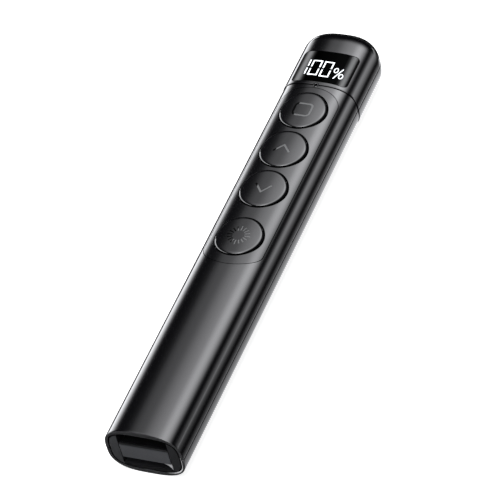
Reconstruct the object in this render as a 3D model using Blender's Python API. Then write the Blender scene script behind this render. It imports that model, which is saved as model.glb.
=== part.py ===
"""Wireless presenter: a slim hand-held body with four push buttons, a charge display and a USB receiver in its tail.

Metres, +Z up. The presenter lies on its back along Y, with the tail at -Y and the head with the display at +Y.
Every piece is drawn in the body's own frame: x across, y from the tail plane, z from the middle plane.
An empty carries them all and puts the middle of the underside at the origin.
"""

from math import asin, cos, pi, radians, sin

import bmesh
import bpy
from mathutils import Vector

MM = 0.001

# Whole body
LENGTH = 145.0 * MM
WIDTH = 21.0 * MM
THICKNESS = 14.9 * MM
SECTION_EXPONENT = 2.86
REST_FLAT = 0.1 * MM

# Clearances
PART_GAP = 0.2 * MM
SEAT_GAP = 0.2 * MM
FINE_GAP = 0.15 * MM
EMBED = 0.35 * MM
OVERRUN = 3.0 * MM

# Edge of the tail
TAIL_EDGE = 0.4 * MM

# Walls of the body
WALL_SIDE = 1.0 * MM
WALL_TOP = 1.7 * MM
WALL_BOTTOM = 1.9 * MM
CAVITY_EXPONENT = 3.6

# Head
HEAD_LENGTH = 22.45 * MM
HEAD_STEP = 0.13 * MM
HEAD_WALL_SIDE = 1.5 * MM
HEAD_WALL_TOP = 1.9 * MM
HEAD_WALL_BOTTOM = 1.9 * MM
HEAD_FRONT_WALL = 2.0 * MM
HEAD_PLAN_ROUNDING = 7.35 * MM
HEAD_PLAN_EXPONENT = 2.38
HEAD_SIDE_ROUNDING = 4.27 * MM
HEAD_SIDE_EXPONENT = 2.18
HEAD_FRONT_FLAT = 0.02 * MM
NECK_LENGTH = 3.9 * MM
NECK_FLANGE = 2.0 * MM
NECK_WALL = 1.0 * MM

# Control panel
PANEL_THICKNESS = 0.6 * MM
PANEL_SIDE_BORDER = 2.4 * MM
PANEL_SETBACK = 1.1 * MM
PANEL_FRONT_MARGIN = 2.1 * MM
PANEL_REAR_MARGIN = 3.0 * MM
PANEL_END_LENGTH = 5.0 * MM

# Buttons
BUTTON_WIDTH_SHARE = 12.7 / 21.0
BUTTON_SPACING = 1.65 * MM
LIGHT_BUTTON_SPACING = 4.3 * MM
BUTTON_PROUD = 0.5 * MM
BUTTON_EDGE = 0.5 * MM
BUTTON_GAP = 0.35 * MM
BUTTON_TRAVEL = 0.3 * MM
BUTTON_CAP = 1.3 * MM
BUTTON_SKIRT = 1.2 * MM
BUTTON_POST_RADIUS = 1.8 * MM
FLANGE_LIP = 0.65 * MM
FLANGE_THICKNESS = 0.6 * MM

# Keypad mat, switches and board
PLUNGER_AIR = 0.1 * MM
PLUNGER_RADIUS = 2.5 * MM
PLUNGER_HEIGHT = 0.4 * MM
MAT_THICKNESS = 0.6 * MM
MAT_SIDE_AIR = 1.7 * MM
MAT_MARGIN = 1.5 * MM
SWITCH_SIDE = 4.5 * MM
SWITCH_BODY_HEIGHT = 1.5 * MM
SWITCH_STEM_RADIUS = 0.9 * MM
SWITCH_STEM_HEIGHT = 0.4 * MM
BOARD_THICKNESS = 1.0 * MM
BOARD_SIDE_AIR = 0.9 * MM
BOARD_REAR_LAP = 0.45 * MM
BOARD_FRONT_LAP = 1.35 * MM
BOARD_CORNER = 1.0 * MM

# Housing screws
SCREW_SIDE_AIR = 3.2 * MM
SCREW_HEAD_RADIUS = 1.4 * MM
SCREW_HEAD_HEIGHT = 0.6 * MM
SCREW_SHANK_RADIUS = 0.8 * MM
SCREW_TIP_ROOM = 1.15 * MM
SCREW_DRIVE_RADIUS = 0.5 * MM
SCREW_DRIVE_DEPTH = 0.35 * MM
BOSS_RADIUS = 2.1 * MM

# Battery
BATTERY_AIR = 0.65 * MM
BATTERY_SETBACK = 2.2 * MM
LEAD_ROOM = 5.0 * MM
BATTERY_EDGE = 0.5 * MM
BATTERY_CAP_RADIUS = 1.8 * MM
BATTERY_CAP_HEIGHT = 0.8 * MM
SADDLE_SHARE = 0.25
RIB_THICKNESS = 1.0 * MM
RIB_DROP = 0.3 * MM
LEAD_RADIUS = 0.4 * MM
LEAD_X = 2.9 * MM
LEAD_REACH = 3.0 * MM
LEAD_START_Z = 2.2 * MM
LEAD_AIR = 0.5 * MM

# Parts on the underside of the board
SHIELD_WIDTH = 11.0 * MM
SHIELD_HEIGHT = 1.7 * MM
SHIELD_EDGE = 0.4 * MM
SHIELD_REAR_AIR = 2.5 * MM
SHIELD_FRONT_AIR = 3.7 * MM
CHIP_SIZE = (6.0 * MM, 6.0 * MM, 0.9 * MM)
CHIP_EDGE = 0.15 * MM
CHIP_AIR = 0.6 * MM
PORT_SETBACK = 8.5 * MM
PORT_MOUTH_REACH = 1.9 * MM
PORT_WIDTH = 8.9 * MM
PORT_HEIGHT = 3.2 * MM
PORT_DEPTH = 7.3 * MM
PORT_WALL = 0.35 * MM
PORT_BACK = 1.0 * MM
PORT_INSET = 1.2 * MM
PORT_TONGUE_WIDTH = 6.6 * MM
PORT_TONGUE_HEIGHT = 0.7 * MM
PORT_TONGUE_LENGTH = 4.6 * MM

# Status light
GUIDE_RADIUS = 0.6 * MM
GUIDE_BORE_RADIUS = 0.25 * MM
GUIDE_BORE_DEPTH = 0.6 * MM
EMITTER_SIZE = (1.6 * MM, 1.0 * MM, 0.7 * MM)

# Display
WINDOW_SIDE_BORDER = 2.65 * MM
WINDOW_SETBACK = 1.25 * MM
WINDOW_LENGTH = 11.0 * MM
WINDOW_CORNER = 1.1 * MM
WINDOW_THICKNESS = 1.0 * MM
MODULE_MARGIN = 1.1 * MM
MODULE_THICKNESS = 1.5 * MM
MODULE_EDGE = 0.2 * MM
FLEX_WIDTH_SHARE = 0.3
FLEX_SIDE_AIR = 0.55 * MM
FLEX_THICKNESS = 0.3 * MM
FLEX_LAP = 1.8 * MM

# Pointer light
POINTER_RADIUS = 3.0 * MM
POINTER_LENGTH = 12.4 * MM
POINTER_SETBACK = 1.8 * MM
POINTER_NOSE_RADIUS = 2.2 * MM
LENS_AIR = 0.8 * MM
POINTER_EDGE = 0.3 * MM
POINTER_RIB_INSET = 2.0 * MM
LENS_RADIUS = 2.5 * MM
LENS_THICKNESS = 1.1 * MM
LENS_DOME = 0.25 * MM

# Receiver
RECEIVER_SIDE_ROOM = 2.9 * MM
RECEIVER_HEIGHT = 5.1 * MM
RECEIVER_DEPTH = 7.0 * MM
RECEIVER_Z = -0.1 * MM
RECEIVER_CORNER = 0.35 * MM
RECEIVER_EDGE = 0.15 * MM
PLUG_STEP = 0.6 * MM
PLUG_HEIGHT = 4.5 * MM
PLUG_LENGTH = 12.0 * MM
PLUG_WALL = 0.3 * MM
PLUG_CORNER = 0.6 * MM
PLUG_HOLE_SIDE = 2.1 * MM
PLUG_HOLE_X = 2.6 * MM
PLUG_HOLE_Y = 5.2 * MM
TONGUE_BASE = 2.2 * MM
TONGUE_HEIGHT = 1.85 * MM
TONGUE_SETBACK = 0.6 * MM
CONTACT_COUNT = 4
CONTACT_WIDTH = 1.0 * MM
CONTACT_PITCH_SHARE = 0.2
CONTACT_LENGTH = 7.2 * MM
CONTACT_THICKNESS = 0.25 * MM

# Receiver cradle
CRADLE_INSET = 0.1 * MM
CRADLE_FLOOR_THICKNESS = 0.8 * MM
CRADLE_BACK = 1.5 * MM
CRADLE_BOX_WALL = 1.2 * MM
MAGNET_SIZE = (8.0 * MM, 1.5 * MM, 3.0 * MM)
MAGNET_WALL = 0.8 * MM

# Facets
ARC_STEPS = 24
INNER_ARC_STEPS = 16
ROUND_STEPS = 32
INNER_ROUND_STEPS = 20
SMALL_ROUND_STEPS = 14
CORNER_STEPS = 4
CROWN_STEPS = 14
SLOT_STEPS = 8
LEAD_STEPS = 10
NOSE_STEPS = 10
INNER_NOSE_STEPS = 5
SMOOTH_ANGLE = radians(35)
SQUARE_EDGE_ANGLE = radians(60)

# Body and head, from the sizes above
HALF_WIDTH = WIDTH / 2
HALF_THICKNESS = THICKNESS / 2
REST_DROP = HALF_THICKNESS - REST_FLAT
CAVITY_HALF_WIDTH = HALF_WIDTH - WALL_SIDE
CAVITY_TOP = HALF_THICKNESS - WALL_TOP
CAVITY_BOTTOM = HALF_THICKNESS - WALL_BOTTOM
HEAD_SEAM_Y = LENGTH - HEAD_LENGTH
HEAD_HALF_WIDTH = HALF_WIDTH + HEAD_STEP
HEAD_HALF_THICKNESS = HALF_THICKNESS + HEAD_STEP
BODY_END_Y = HEAD_SEAM_Y - PART_GAP / 2
HEAD_START_Y = HEAD_SEAM_Y + PART_GAP / 2

# Panel and buttons, from the head backwards
PANEL_HALF_WIDTH = HALF_WIDTH - PANEL_SIDE_BORDER
PANEL_FRONT_Y = HEAD_SEAM_Y - PANEL_SETBACK
BUTTON_RADIUS = HALF_WIDTH * BUTTON_WIDTH_SHARE
BUTTON_PITCH = 2 * BUTTON_RADIUS + BUTTON_SPACING
LIGHT_BUTTON_PITCH = 2 * BUTTON_RADIUS + LIGHT_BUTTON_SPACING
HOLE_RADIUS = BUTTON_RADIUS + BUTTON_GAP
FLANGE_RADIUS = BUTTON_RADIUS + FLANGE_LIP
FRONT_BUTTON_Y = PANEL_FRONT_Y - PANEL_FRONT_MARGIN - BUTTON_RADIUS
BUTTONS = {
    "button_menu": FRONT_BUTTON_Y,
    "button_up": FRONT_BUTTON_Y - BUTTON_PITCH,
    "button_down": FRONT_BUTTON_Y - 2 * BUTTON_PITCH,
    "button_light": FRONT_BUTTON_Y - 2 * BUTTON_PITCH - LIGHT_BUTTON_PITCH,
}
PANEL_REAR_Y = BUTTONS["button_light"] - BUTTON_RADIUS - PANEL_REAR_MARGIN
MAT_HALF_WIDTH = CAVITY_HALF_WIDTH - MAT_SIDE_AIR
BOARD_HALF_WIDTH = CAVITY_HALF_WIDTH - BOARD_SIDE_AIR
BOARD_REAR_Y = PANEL_REAR_Y - BOARD_REAR_LAP
BOARD_FRONT_Y = HEAD_SEAM_Y + BOARD_FRONT_LAP
SCREW_X = CAVITY_HALF_WIDTH - SCREW_SIDE_AIR


def curve_height(x, half_width, half_height, exponent):
    """Height of a rounded section's edge above its middle, at the distance x from its centre line."""
    share = min(abs(x) / half_width, 1.0)
    return half_height * (1.0 - share**exponent) ** (1.0 / exponent)


def crown(x):
    return curve_height(x, HALF_WIDTH, HALF_THICKNESS, SECTION_EXPONENT)


def head_crown(x):
    return curve_height(x, HEAD_HALF_WIDTH, HEAD_HALF_THICKNESS, SECTION_EXPONENT)


def ceiling(x):
    return curve_height(x, CAVITY_HALF_WIDTH, CAVITY_TOP, CAVITY_EXPONENT)


def floor(x):
    return -curve_height(x, CAVITY_HALF_WIDTH, CAVITY_BOTTOM, CAVITY_EXPONENT)


# The stack under the buttons, from the top down
FLANGE_TOP = ceiling(FLANGE_RADIUS) - SEAT_GAP
FLANGE_BOTTOM = FLANGE_TOP - FLANGE_THICKNESS
PLUNGER_TOP = FLANGE_BOTTOM - BUTTON_TRAVEL - PLUNGER_AIR
MAT_TOP = PLUNGER_TOP - PLUNGER_HEIGHT
MAT_BOTTOM = MAT_TOP - MAT_THICKNESS
SWITCH_TOP = MAT_BOTTOM - SEAT_GAP
SWITCH_BOTTOM = SWITCH_TOP - SWITCH_STEM_HEIGHT - SWITCH_BODY_HEIGHT
BOARD_TOP = SWITCH_BOTTOM - SEAT_GAP
BOARD_BOTTOM = BOARD_TOP - BOARD_THICKNESS
BOARD_PART_TOP = BOARD_BOTTOM - SEAT_GAP

# Screws sit midway between the first two buttons and between the last two
SCREW_YS = (
    (BUTTONS["button_menu"] + BUTTONS["button_up"]) / 2,
    (BUTTONS["button_down"] + BUTTONS["button_light"]) / 2,
)
SCREW_TOP = crown(SCREW_X + SCREW_HEAD_RADIUS) - PANEL_THICKNESS - 2 * SEAT_GAP
SCREW_SEAT = SCREW_TOP - SCREW_HEAD_HEIGHT
SCREW_LENGTH = SCREW_SEAT - floor(SCREW_X) - SCREW_TIP_ROOM
BOSS_TOP = ceiling(SCREW_X) + EMBED

# The chip and the shield share the room between the two rows of screws
CHIP_Y = SCREW_YS[1] + BOSS_RADIUS + CHIP_AIR + CHIP_SIZE[1] / 2
SHIELD_REAR_Y = CHIP_Y + CHIP_SIZE[1] / 2 + SHIELD_REAR_AIR
SHIELD_FRONT_Y = SCREW_YS[0] - BOSS_RADIUS - SHIELD_FRONT_AIR
SHIELD_Y = (SHIELD_REAR_Y + SHIELD_FRONT_Y) / 2
SHIELD_SIZE = (SHIELD_WIDTH, SHIELD_FRONT_Y - SHIELD_REAR_Y, SHIELD_HEIGHT)
PORT_Y = BOARD_REAR_Y + PORT_SETBACK

# Display and pointer light, from the seam of the head and from its front end
GUIDE_Y = HEAD_SEAM_Y
WINDOW_HALF_WIDTH = HALF_WIDTH - WINDOW_SIDE_BORDER
WINDOW_REAR_Y = HEAD_SEAM_Y + WINDOW_SETBACK
WINDOW_FRONT_Y = WINDOW_REAR_Y + WINDOW_LENGTH
MODULE_HALF_WIDTH = WINDOW_HALF_WIDTH - MODULE_MARGIN
MODULE_REAR_Y = WINDOW_REAR_Y + MODULE_MARGIN
MODULE_FRONT_Y = WINDOW_FRONT_Y - MODULE_MARGIN
MODULE_TOP = head_crown(MODULE_HALF_WIDTH) - WINDOW_THICKNESS - SEAT_GAP
MODULE_BOTTOM = MODULE_TOP - MODULE_THICKNESS
FLEX_HALF_WIDTH = MODULE_HALF_WIDTH * FLEX_WIDTH_SHARE
FLEX_X = MODULE_HALF_WIDTH - FLEX_HALF_WIDTH - FLEX_SIDE_AIR
POINTER_FRONT_Y = LENGTH - HEAD_FRONT_WALL - POINTER_SETBACK
POINTER_REAR_Y = POINTER_FRONT_Y - POINTER_LENGTH
POINTER_END_Y = LENGTH - LENS_THICKNESS - LENS_AIR

# The receiver's pieces share an origin on the line that they slide along
RECEIVER_ORIGIN = (0.0, 0.0, RECEIVER_Z)
RECEIVER_WIDTH = 2 * (CAVITY_HALF_WIDTH - RECEIVER_SIDE_ROOM)
PLUG_WIDTH = RECEIVER_WIDTH - 2 * PLUG_STEP
CONTACT_PITCH = PLUG_WIDTH * CONTACT_PITCH_SHARE
PLUG_START_Y = RECEIVER_DEPTH + FINE_GAP
PLUG_END_Y = PLUG_START_Y + PLUG_LENGTH
BAY_END_Y = RECEIVER_DEPTH + SEAT_GAP
CRADLE_END_Y = PLUG_END_Y + SEAT_GAP + MAGNET_WALL + MAGNET_SIZE[1] + FINE_GAP
BAY_HALF_WIDTH = RECEIVER_WIDTH / 2 + FINE_GAP
CRADLE_FLOOR_Z = CRADLE_FLOOR_THICKNESS - CAVITY_BOTTOM

# The battery fills the room between the cradle and the leads
BATTERY_RADIUS = (CAVITY_TOP + CAVITY_BOTTOM) / 2 - BATTERY_AIR
BATTERY_REAR_Y = CRADLE_END_Y + BATTERY_SETBACK
BATTERY_LENGTH = BOARD_REAR_Y - LEAD_ROOM - BATTERY_REAR_Y


def clear_scene():
    for old in list(bpy.data.objects):
        bpy.data.objects.remove(old, do_unlink=True)


def finish(name, colour, roughness, metallic=0.0, alpha=1.0):
    """A named Principled material, made once and then reused."""
    made = bpy.data.materials.get(name)
    if made:
        return made
    made = bpy.data.materials.new(name)
    made.use_nodes = True
    shader = made.node_tree.nodes["Principled BSDF"]
    shader.inputs["Base Color"].default_value = (*colour, 1.0)
    shader.inputs["Roughness"].default_value = roughness
    shader.inputs["Metallic"].default_value = metallic
    shader.inputs["Alpha"].default_value = alpha
    made.diffuse_color = (*colour, alpha)
    return made


def shell_black():
    return finish("shell_black", (0.012, 0.012, 0.014), 0.22)


def panel_black():
    return finish("panel_black", (0.016, 0.016, 0.018), 0.26)


def inner_plastic():
    return finish("inner_plastic", (0.03, 0.03, 0.033), 0.55)


def window_black():
    return finish("window_black", (0.004, 0.004, 0.005), 0.06)


def clear_plastic():
    return finish("clear_plastic", (0.75, 0.78, 0.8), 0.1, alpha=0.5)


def board_green():
    return finish("board_green", (0.02, 0.12, 0.05), 0.5)


def chip_black():
    return finish("chip_black", (0.01, 0.01, 0.01), 0.6)


def mat_silicone():
    return finish("mat_silicone", (0.25, 0.26, 0.27), 0.7)


def steel():
    return finish("steel", (0.6, 0.6, 0.62), 0.3, metallic=1.0)


def gold_contact():
    return finish("gold_contact", (0.83, 0.62, 0.26), 0.25, metallic=1.0)


def cell_wrap():
    return finish("cell_wrap", (0.55, 0.57, 0.6), 0.4)


def flex_orange():
    return finish("flex_orange", (0.6, 0.28, 0.06), 0.45)


def lead_red():
    return finish("lead_red", (0.5, 0.02, 0.02), 0.5)


def lead_black():
    return finish("lead_black", (0.01, 0.01, 0.01), 0.5)


def eased(share):
    """A smooth step from 0 to 1."""
    return share * share * (3 - 2 * share)


def signed_power(value, exponent):
    return abs(value) ** exponent * (1.0 if value >= 0 else -1.0)


def section_arc(half_width, half_height, exponent, side, start=0.0, steps=ARC_STEPS):
    """Points (x, z) of the half section above (side 1) or below (side -1) the middle, from right to left.

    The arc starts and ends at the height `start` from the middle.
    """
    first = asin((start / half_height) ** (exponent / 2))
    points = []
    for step in range(steps + 1):
        angle = first + (pi - 2 * first) * step / steps
        x = half_width * signed_power(cos(angle), 2 / exponent)
        points.append((x, side * half_height * signed_power(max(sin(angle), 0.0), 2 / exponent)))
    return points


def outer_arc(half_width, half_height, side):
    """Half of an outer section, cut flat where the presenter rests."""
    arc = section_arc(half_width, half_height, SECTION_EXPONENT, side, PART_GAP / 2)
    return [(x, max(z, -REST_DROP)) for x, z in arc]


def cavity_arc(half_width, half_height, side, start=0.0):
    return section_arc(half_width, half_height, CAVITY_EXPONENT, side, start, INNER_ARC_STEPS)


def cavity_section(half_width, top, bottom):
    """Points of a whole inner section, whose upper and lower halves may differ in height."""
    upper = cavity_arc(half_width, top, 1)
    lower = cavity_arc(half_width, bottom, -1)
    return upper + lower[-2:0:-1]


def circle(radius, centre=(0.0, 0.0), steps=ROUND_STEPS):
    turn = 2 * pi / steps
    return [(centre[0] + radius * cos(turn * i), centre[1] + radius * sin(turn * i)) for i in range(steps)]


def rectangle(low, high, corner=0.0):
    """A rectangle from its low to its high corner, with rounded corners where a radius is given."""
    if not corner:
        return [low, (high[0], low[1]), high, (low[0], high[1])]
    points = []
    centres = (
        (high[0] - corner, high[1] - corner),
        (low[0] + corner, high[1] - corner),
        (low[0] + corner, low[1] + corner),
        (high[0] - corner, low[1] + corner),
    )
    for quarter, centre in enumerate(centres):
        for step in range(CORNER_STEPS + 1):
            angle = (quarter + step / CORNER_STEPS) * pi / 2
            points.append((centre[0] + corner * cos(angle), centre[1] + corner * sin(angle)))
    return points


def slot(centre, half_length, radius):
    """An outline with two straight sides and two half-round ends."""
    points = []
    for end in (1, -1):
        for step in range(SLOT_STEPS + 1):
            angle = pi * (step / SLOT_STEPS - 1 / 2)
            across = half_length - radius + radius * cos(angle)
            points.append((centre[0] + end * across, centre[1] + end * radius * sin(angle)))
    return points


def panel_outline(grow=0.0):
    """The panel's outline: straight sides between two elliptical ends."""
    half_width = PANEL_HALF_WIDTH + grow
    length = PANEL_END_LENGTH + grow
    front = PANEL_FRONT_Y - PANEL_END_LENGTH
    rear = PANEL_REAR_Y + PANEL_END_LENGTH
    points = []
    for step in range(ARC_STEPS + 1):
        angle = pi * step / ARC_STEPS
        points.append((half_width * cos(angle), front + length * sin(angle)))
    for step in range(ARC_STEPS + 1):
        angle = pi * step / ARC_STEPS
        points.append((-half_width * cos(angle), rear - length * sin(angle)))
    return points


def window_outline(grow=0.0):
    return rectangle(
        (-WINDOW_HALF_WIDTH - grow, WINDOW_REAR_Y - grow),
        (WINDOW_HALF_WIDTH + grow, WINDOW_FRONT_Y + grow),
        WINDOW_CORNER + grow,
    )


def loft(rings):
    """A closed solid through rings of as many points each, capped at both ends."""
    mesh = bmesh.new()
    rows = [[mesh.verts.new(point) for point in ring] for ring in rings]
    count = len(rings[0])
    for row, following in zip(rows, rows[1:]):
        for i in range(count):
            j = (i + 1) % count
            mesh.faces.new((row[i], row[j], following[j], following[i]))
    mesh.faces.new(rows[0][::-1])
    mesh.faces.new(rows[-1])
    return mesh


def extrude(outline, start, end, axis):
    """A closed prism on an outline in the plane across `axis`, from start to end along it."""
    places = {
        "x": lambda u, v, w: (w, u, v),
        "y": lambda u, v, w: (u, w, v),
        "z": lambda u, v, w: (u, v, w),
    }
    place = places[axis]
    return loft([[place(u, v, w) for u, v in outline] for w in (start, end)])


def box(low, high):
    return extrude(rectangle(low[:2], high[:2]), low[2], high[2], "z")


def turned(profile, steps, place):
    """A solid turned from a profile of (radius, height, follow) that starts and ends on the axis.

    `place` gives the point for a radius, an angle, a height and the share in which it follows a crown.
    """
    mesh = bmesh.new()
    rows = []
    for radius, height, follow in profile:
        if radius == 0:
            rows.append([mesh.verts.new(place(0.0, 0.0, height, follow))])
            continue
        angles = [2 * pi * i / steps for i in range(steps)]
        rows.append([mesh.verts.new(place(radius, angle, height, follow)) for angle in angles])
    for row, following in zip(rows, rows[1:]):
        for i in range(steps):
            j = (i + 1) % steps
            corners = [row[i % len(row)], row[j % len(row)]]
            corners += [following[j % len(following)], following[i % len(following)]]
            mesh.faces.new(list(dict.fromkeys(corners)))
    return mesh


def upright(radius, angle, height, follow):
    return (radius * cos(angle), radius * sin(angle), height)


def along_length(radius, angle, height, follow):
    return (radius * cos(angle), height, radius * sin(angle))


def slab(half_width, top, bottom, start, end):
    """A curved plate between two heights that are functions of x, from start to end along y."""
    xs = [half_width * (2 * step / CROWN_STEPS - 1) for step in range(CROWN_STEPS + 1)]
    outline = [(x, bottom(x)) for x in xs] + [(x, top(x)) for x in reversed(xs)]
    return extrude(outline, start, end, "y")


def merged(meshes):
    """Several separate closed bodies in one mesh."""
    whole = bmesh.new()
    for part in meshes:
        copy = bpy.data.meshes.new("copy")
        part.to_mesh(copy)
        part.free()
        whole.from_mesh(copy)
        bpy.data.meshes.remove(copy)
    return whole


def piece(name, shape, material, frame, origin=(0.0, 0.0, 0.0)):
    """An object of the presenter, with its origin at a point of the body's own frame."""
    bmesh.ops.recalc_face_normals(shape, faces=shape.faces)
    bmesh.ops.translate(shape, verts=shape.verts, vec=-Vector(origin))
    mesh = bpy.data.meshes.new(name)
    shape.to_mesh(mesh)
    shape.free()
    mesh.materials.append(material)
    mesh.shade_smooth()
    mesh.set_sharp_from_angle(angle=SMOOTH_ANGLE)
    made = bpy.data.objects.new(name, mesh)
    made.location = origin
    made.parent = frame
    bpy.context.scene.collection.objects.link(made)
    return made


def helper(name, shape, frame):
    """A shape that only cuts or joins, and is no piece of the presenter."""
    made = piece(name, shape, inner_plastic(), frame)
    made.hide_render = True
    made.display_type = "WIRE"
    return made


def boolean(target, other, operation):
    step = target.modifiers.new(f"{operation.lower()}_{other.name}", "BOOLEAN")
    step.operation = operation
    step.object = other
    step.solver = "EXACT"


def cut(target, *others):
    for other in others:
        boolean(target, other, "DIFFERENCE")


def join(target, *others):
    for other in others:
        boolean(target, other, "UNION")


def trim(target, other):
    boolean(target, other, "INTERSECT")


def soften(target, width, angle=SMOOTH_ANGLE):
    """Rounds the sharp edges of a piece."""
    step = target.modifiers.new("edges", "BEVEL")
    step.width = width
    step.segments = 2
    step.limit_method = "ANGLE"
    step.angle_limit = angle


# Shapes that more than one piece shares


def half_body(side):
    """The outer form of the body's upper or lower half, from its rounded tail edge to the seam of the head."""
    rings = []
    corner = 1 - cos(pi / 4)
    for y, inset in (
        (0.0, TAIL_EDGE),
        (TAIL_EDGE * corner, TAIL_EDGE * corner),
        (TAIL_EDGE, 0.0),
        (BODY_END_Y, 0.0),
    ):
        arc = outer_arc(HALF_WIDTH - inset, HALF_THICKNESS - inset, side)
        rings.append([(x, y, z) for x, z in arc])
    return loft(rings)


def body_cavity():
    section = cavity_section(CAVITY_HALF_WIDTH, CAVITY_TOP, CAVITY_BOTTOM)
    return extrude(section, -OVERRUN, HEAD_SEAM_Y + OVERRUN, "y")


def rounding(y, end, length, exponent):
    """The share of its full size that the nose keeps at y, on a rounding that closes at its end."""
    share = min(max((y - end + length) / length, 0.0), 1.0)
    return (1.0 - share**exponent) ** (1.0 / exponent)


def nose_stations(start, end, steps=NOSE_STEPS):
    """Places along the head, closer together towards its front."""
    first = end - HEAD_PLAN_ROUNDING
    quarter = [first + HEAD_PLAN_ROUNDING * sin(pi / 2 * i / steps) for i in range(steps)]
    return [start, *quarter, end - HEAD_FRONT_FLAT]


def half_head(side):
    """The outer form of the head's upper or lower half, with its rounded front end."""
    rings = []
    for y in nose_stations(HEAD_START_Y, LENGTH):
        wide = rounding(y, LENGTH, HEAD_PLAN_ROUNDING, HEAD_PLAN_EXPONENT)
        tall = rounding(y, LENGTH, HEAD_SIDE_ROUNDING, HEAD_SIDE_EXPONENT)
        arc = outer_arc(HEAD_HALF_WIDTH * wide, HEAD_HALF_THICKNESS * tall, side)
        rings.append([(x, y, z) for x, z in arc])
    rings.append([(x, LENGTH, z) for x, y, z in rings[-1]])
    return loft(rings)


def head_cavity():
    end = LENGTH - HEAD_FRONT_WALL
    rings = []
    for y in nose_stations(HEAD_START_Y - OVERRUN, end, INNER_NOSE_STEPS):
        wide = rounding(y, end, HEAD_PLAN_ROUNDING, HEAD_PLAN_EXPONENT)
        tall = rounding(y, end, HEAD_SIDE_ROUNDING, HEAD_SIDE_EXPONENT)
        half_width = (HEAD_HALF_WIDTH - HEAD_WALL_SIDE) * wide
        top = (HEAD_HALF_THICKNESS - HEAD_WALL_TOP) * tall
        bottom = (HEAD_HALF_THICKNESS - HEAD_WALL_BOTTOM) * tall
        rings.append([(x, y, z) for x, z in cavity_section(half_width, top, bottom)])
    return loft(rings)


def guide_hole():
    hole = circle(GUIDE_RADIUS + FINE_GAP, (0.0, GUIDE_Y), SMALL_ROUND_STEPS)
    return extrude(hole, 0.0, HEAD_HALF_THICKNESS + OVERRUN, "z")


def front_hole():
    hole = circle(LENS_RADIUS + FINE_GAP, steps=ROUND_STEPS)
    return extrude(hole, POINTER_FRONT_Y, LENGTH + OVERRUN, "y")


def screw_places():
    return [(x, y) for y in SCREW_YS for x in (-SCREW_X, SCREW_X)]


def panel_recess(frame):
    """The space for the panel: a curved plate trimmed to the panel's outline, both a little larger."""
    depth = PANEL_THICKNESS + SEAT_GAP
    start = PANEL_REAR_Y - OVERRUN
    end = PANEL_FRONT_Y + OVERRUN
    half_width = PANEL_HALF_WIDTH + WALL_SIDE
    plate = slab(half_width, lambda x: crown(x) + OVERRUN, lambda x: crown(x) - depth, start, end)
    recess = helper("panel_recess_tool", plate, frame)
    outline = extrude(panel_outline(FINE_GAP), 0.0, HALF_THICKNESS + 2 * OVERRUN, "z")
    trim(recess, helper("panel_recess_outline", outline, frame))
    return recess


def window_recess(frame):
    """The stepped space for the display window in the head's upper cover."""
    depth = WINDOW_THICKNESS + SEAT_GAP
    start = WINDOW_REAR_Y - OVERRUN
    end = WINDOW_FRONT_Y + OVERRUN
    half_width = WINDOW_HALF_WIDTH + HEAD_WALL_SIDE
    plate = slab(half_width, lambda x: head_crown(x) + OVERRUN, lambda x: head_crown(x) - depth, start, end)
    recess = helper("window_recess_tool", plate, frame)
    outline = extrude(window_outline(FINE_GAP), 0.0, HEAD_HALF_THICKNESS + 2 * OVERRUN, "z")
    trim(recess, helper("window_recess_outline", outline, frame))
    return recess


# Housings


def upper_housing(frame):
    """The upper half shell, with hanging bosses, the panel's recess and the button holes."""
    shell = piece("upper_housing", half_body(1), shell_black(), frame)
    cut(shell, helper("upper_cavity", body_cavity(), frame))
    bosses = [extrude(circle(BOSS_RADIUS, place), BOARD_TOP + SEAT_GAP, BOSS_TOP, "z") for place in screw_places()]
    join(shell, helper("upper_bosses", merged(bosses), frame))
    join(shell, helper("upper_battery_ribs", battery_ribs(1), frame))
    cut(shell, helper("lead_notch", lead_notch(), frame))
    cut(shell, panel_recess(frame))
    holes = [
        extrude(circle(HOLE_RADIUS, (0.0, y)), FLANGE_TOP, HALF_THICKNESS + OVERRUN, "z")
        for y in BUTTONS.values()
    ]
    cut(shell, helper("button_holes", merged(holes), frame))
    pocket = [
        (0.0, HALF_THICKNESS + OVERRUN, 0.0),
        (SCREW_HEAD_RADIUS + SEAT_GAP, HALF_THICKNESS + OVERRUN, 0.0),
        (SCREW_HEAD_RADIUS + SEAT_GAP, SCREW_SEAT - FINE_GAP, 0.0),
        (SCREW_SHANK_RADIUS + FINE_GAP, SCREW_SEAT - FINE_GAP, 0.0),
        (SCREW_SHANK_RADIUS + FINE_GAP, BOARD_BOTTOM, 0.0),
        (0.0, BOARD_BOTTOM, 0.0),
    ]
    cut(shell, helper("screw_pockets", at_screws(pocket), frame))
    cut(shell, helper("upper_guide_hole", guide_hole(), frame))
    return shell


def at_screws(profile):
    """The same turned shape at each of the four screws."""
    shapes = []
    for x, y in screw_places():
        shape = turned(profile, SMALL_ROUND_STEPS, upright)
        bmesh.ops.translate(shape, verts=shape.verts, vec=(x, y, 0.0))
        bmesh.ops.recalc_face_normals(shape, faces=shape.faces)
        shapes.append(shape)
    return merged(shapes)


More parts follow.
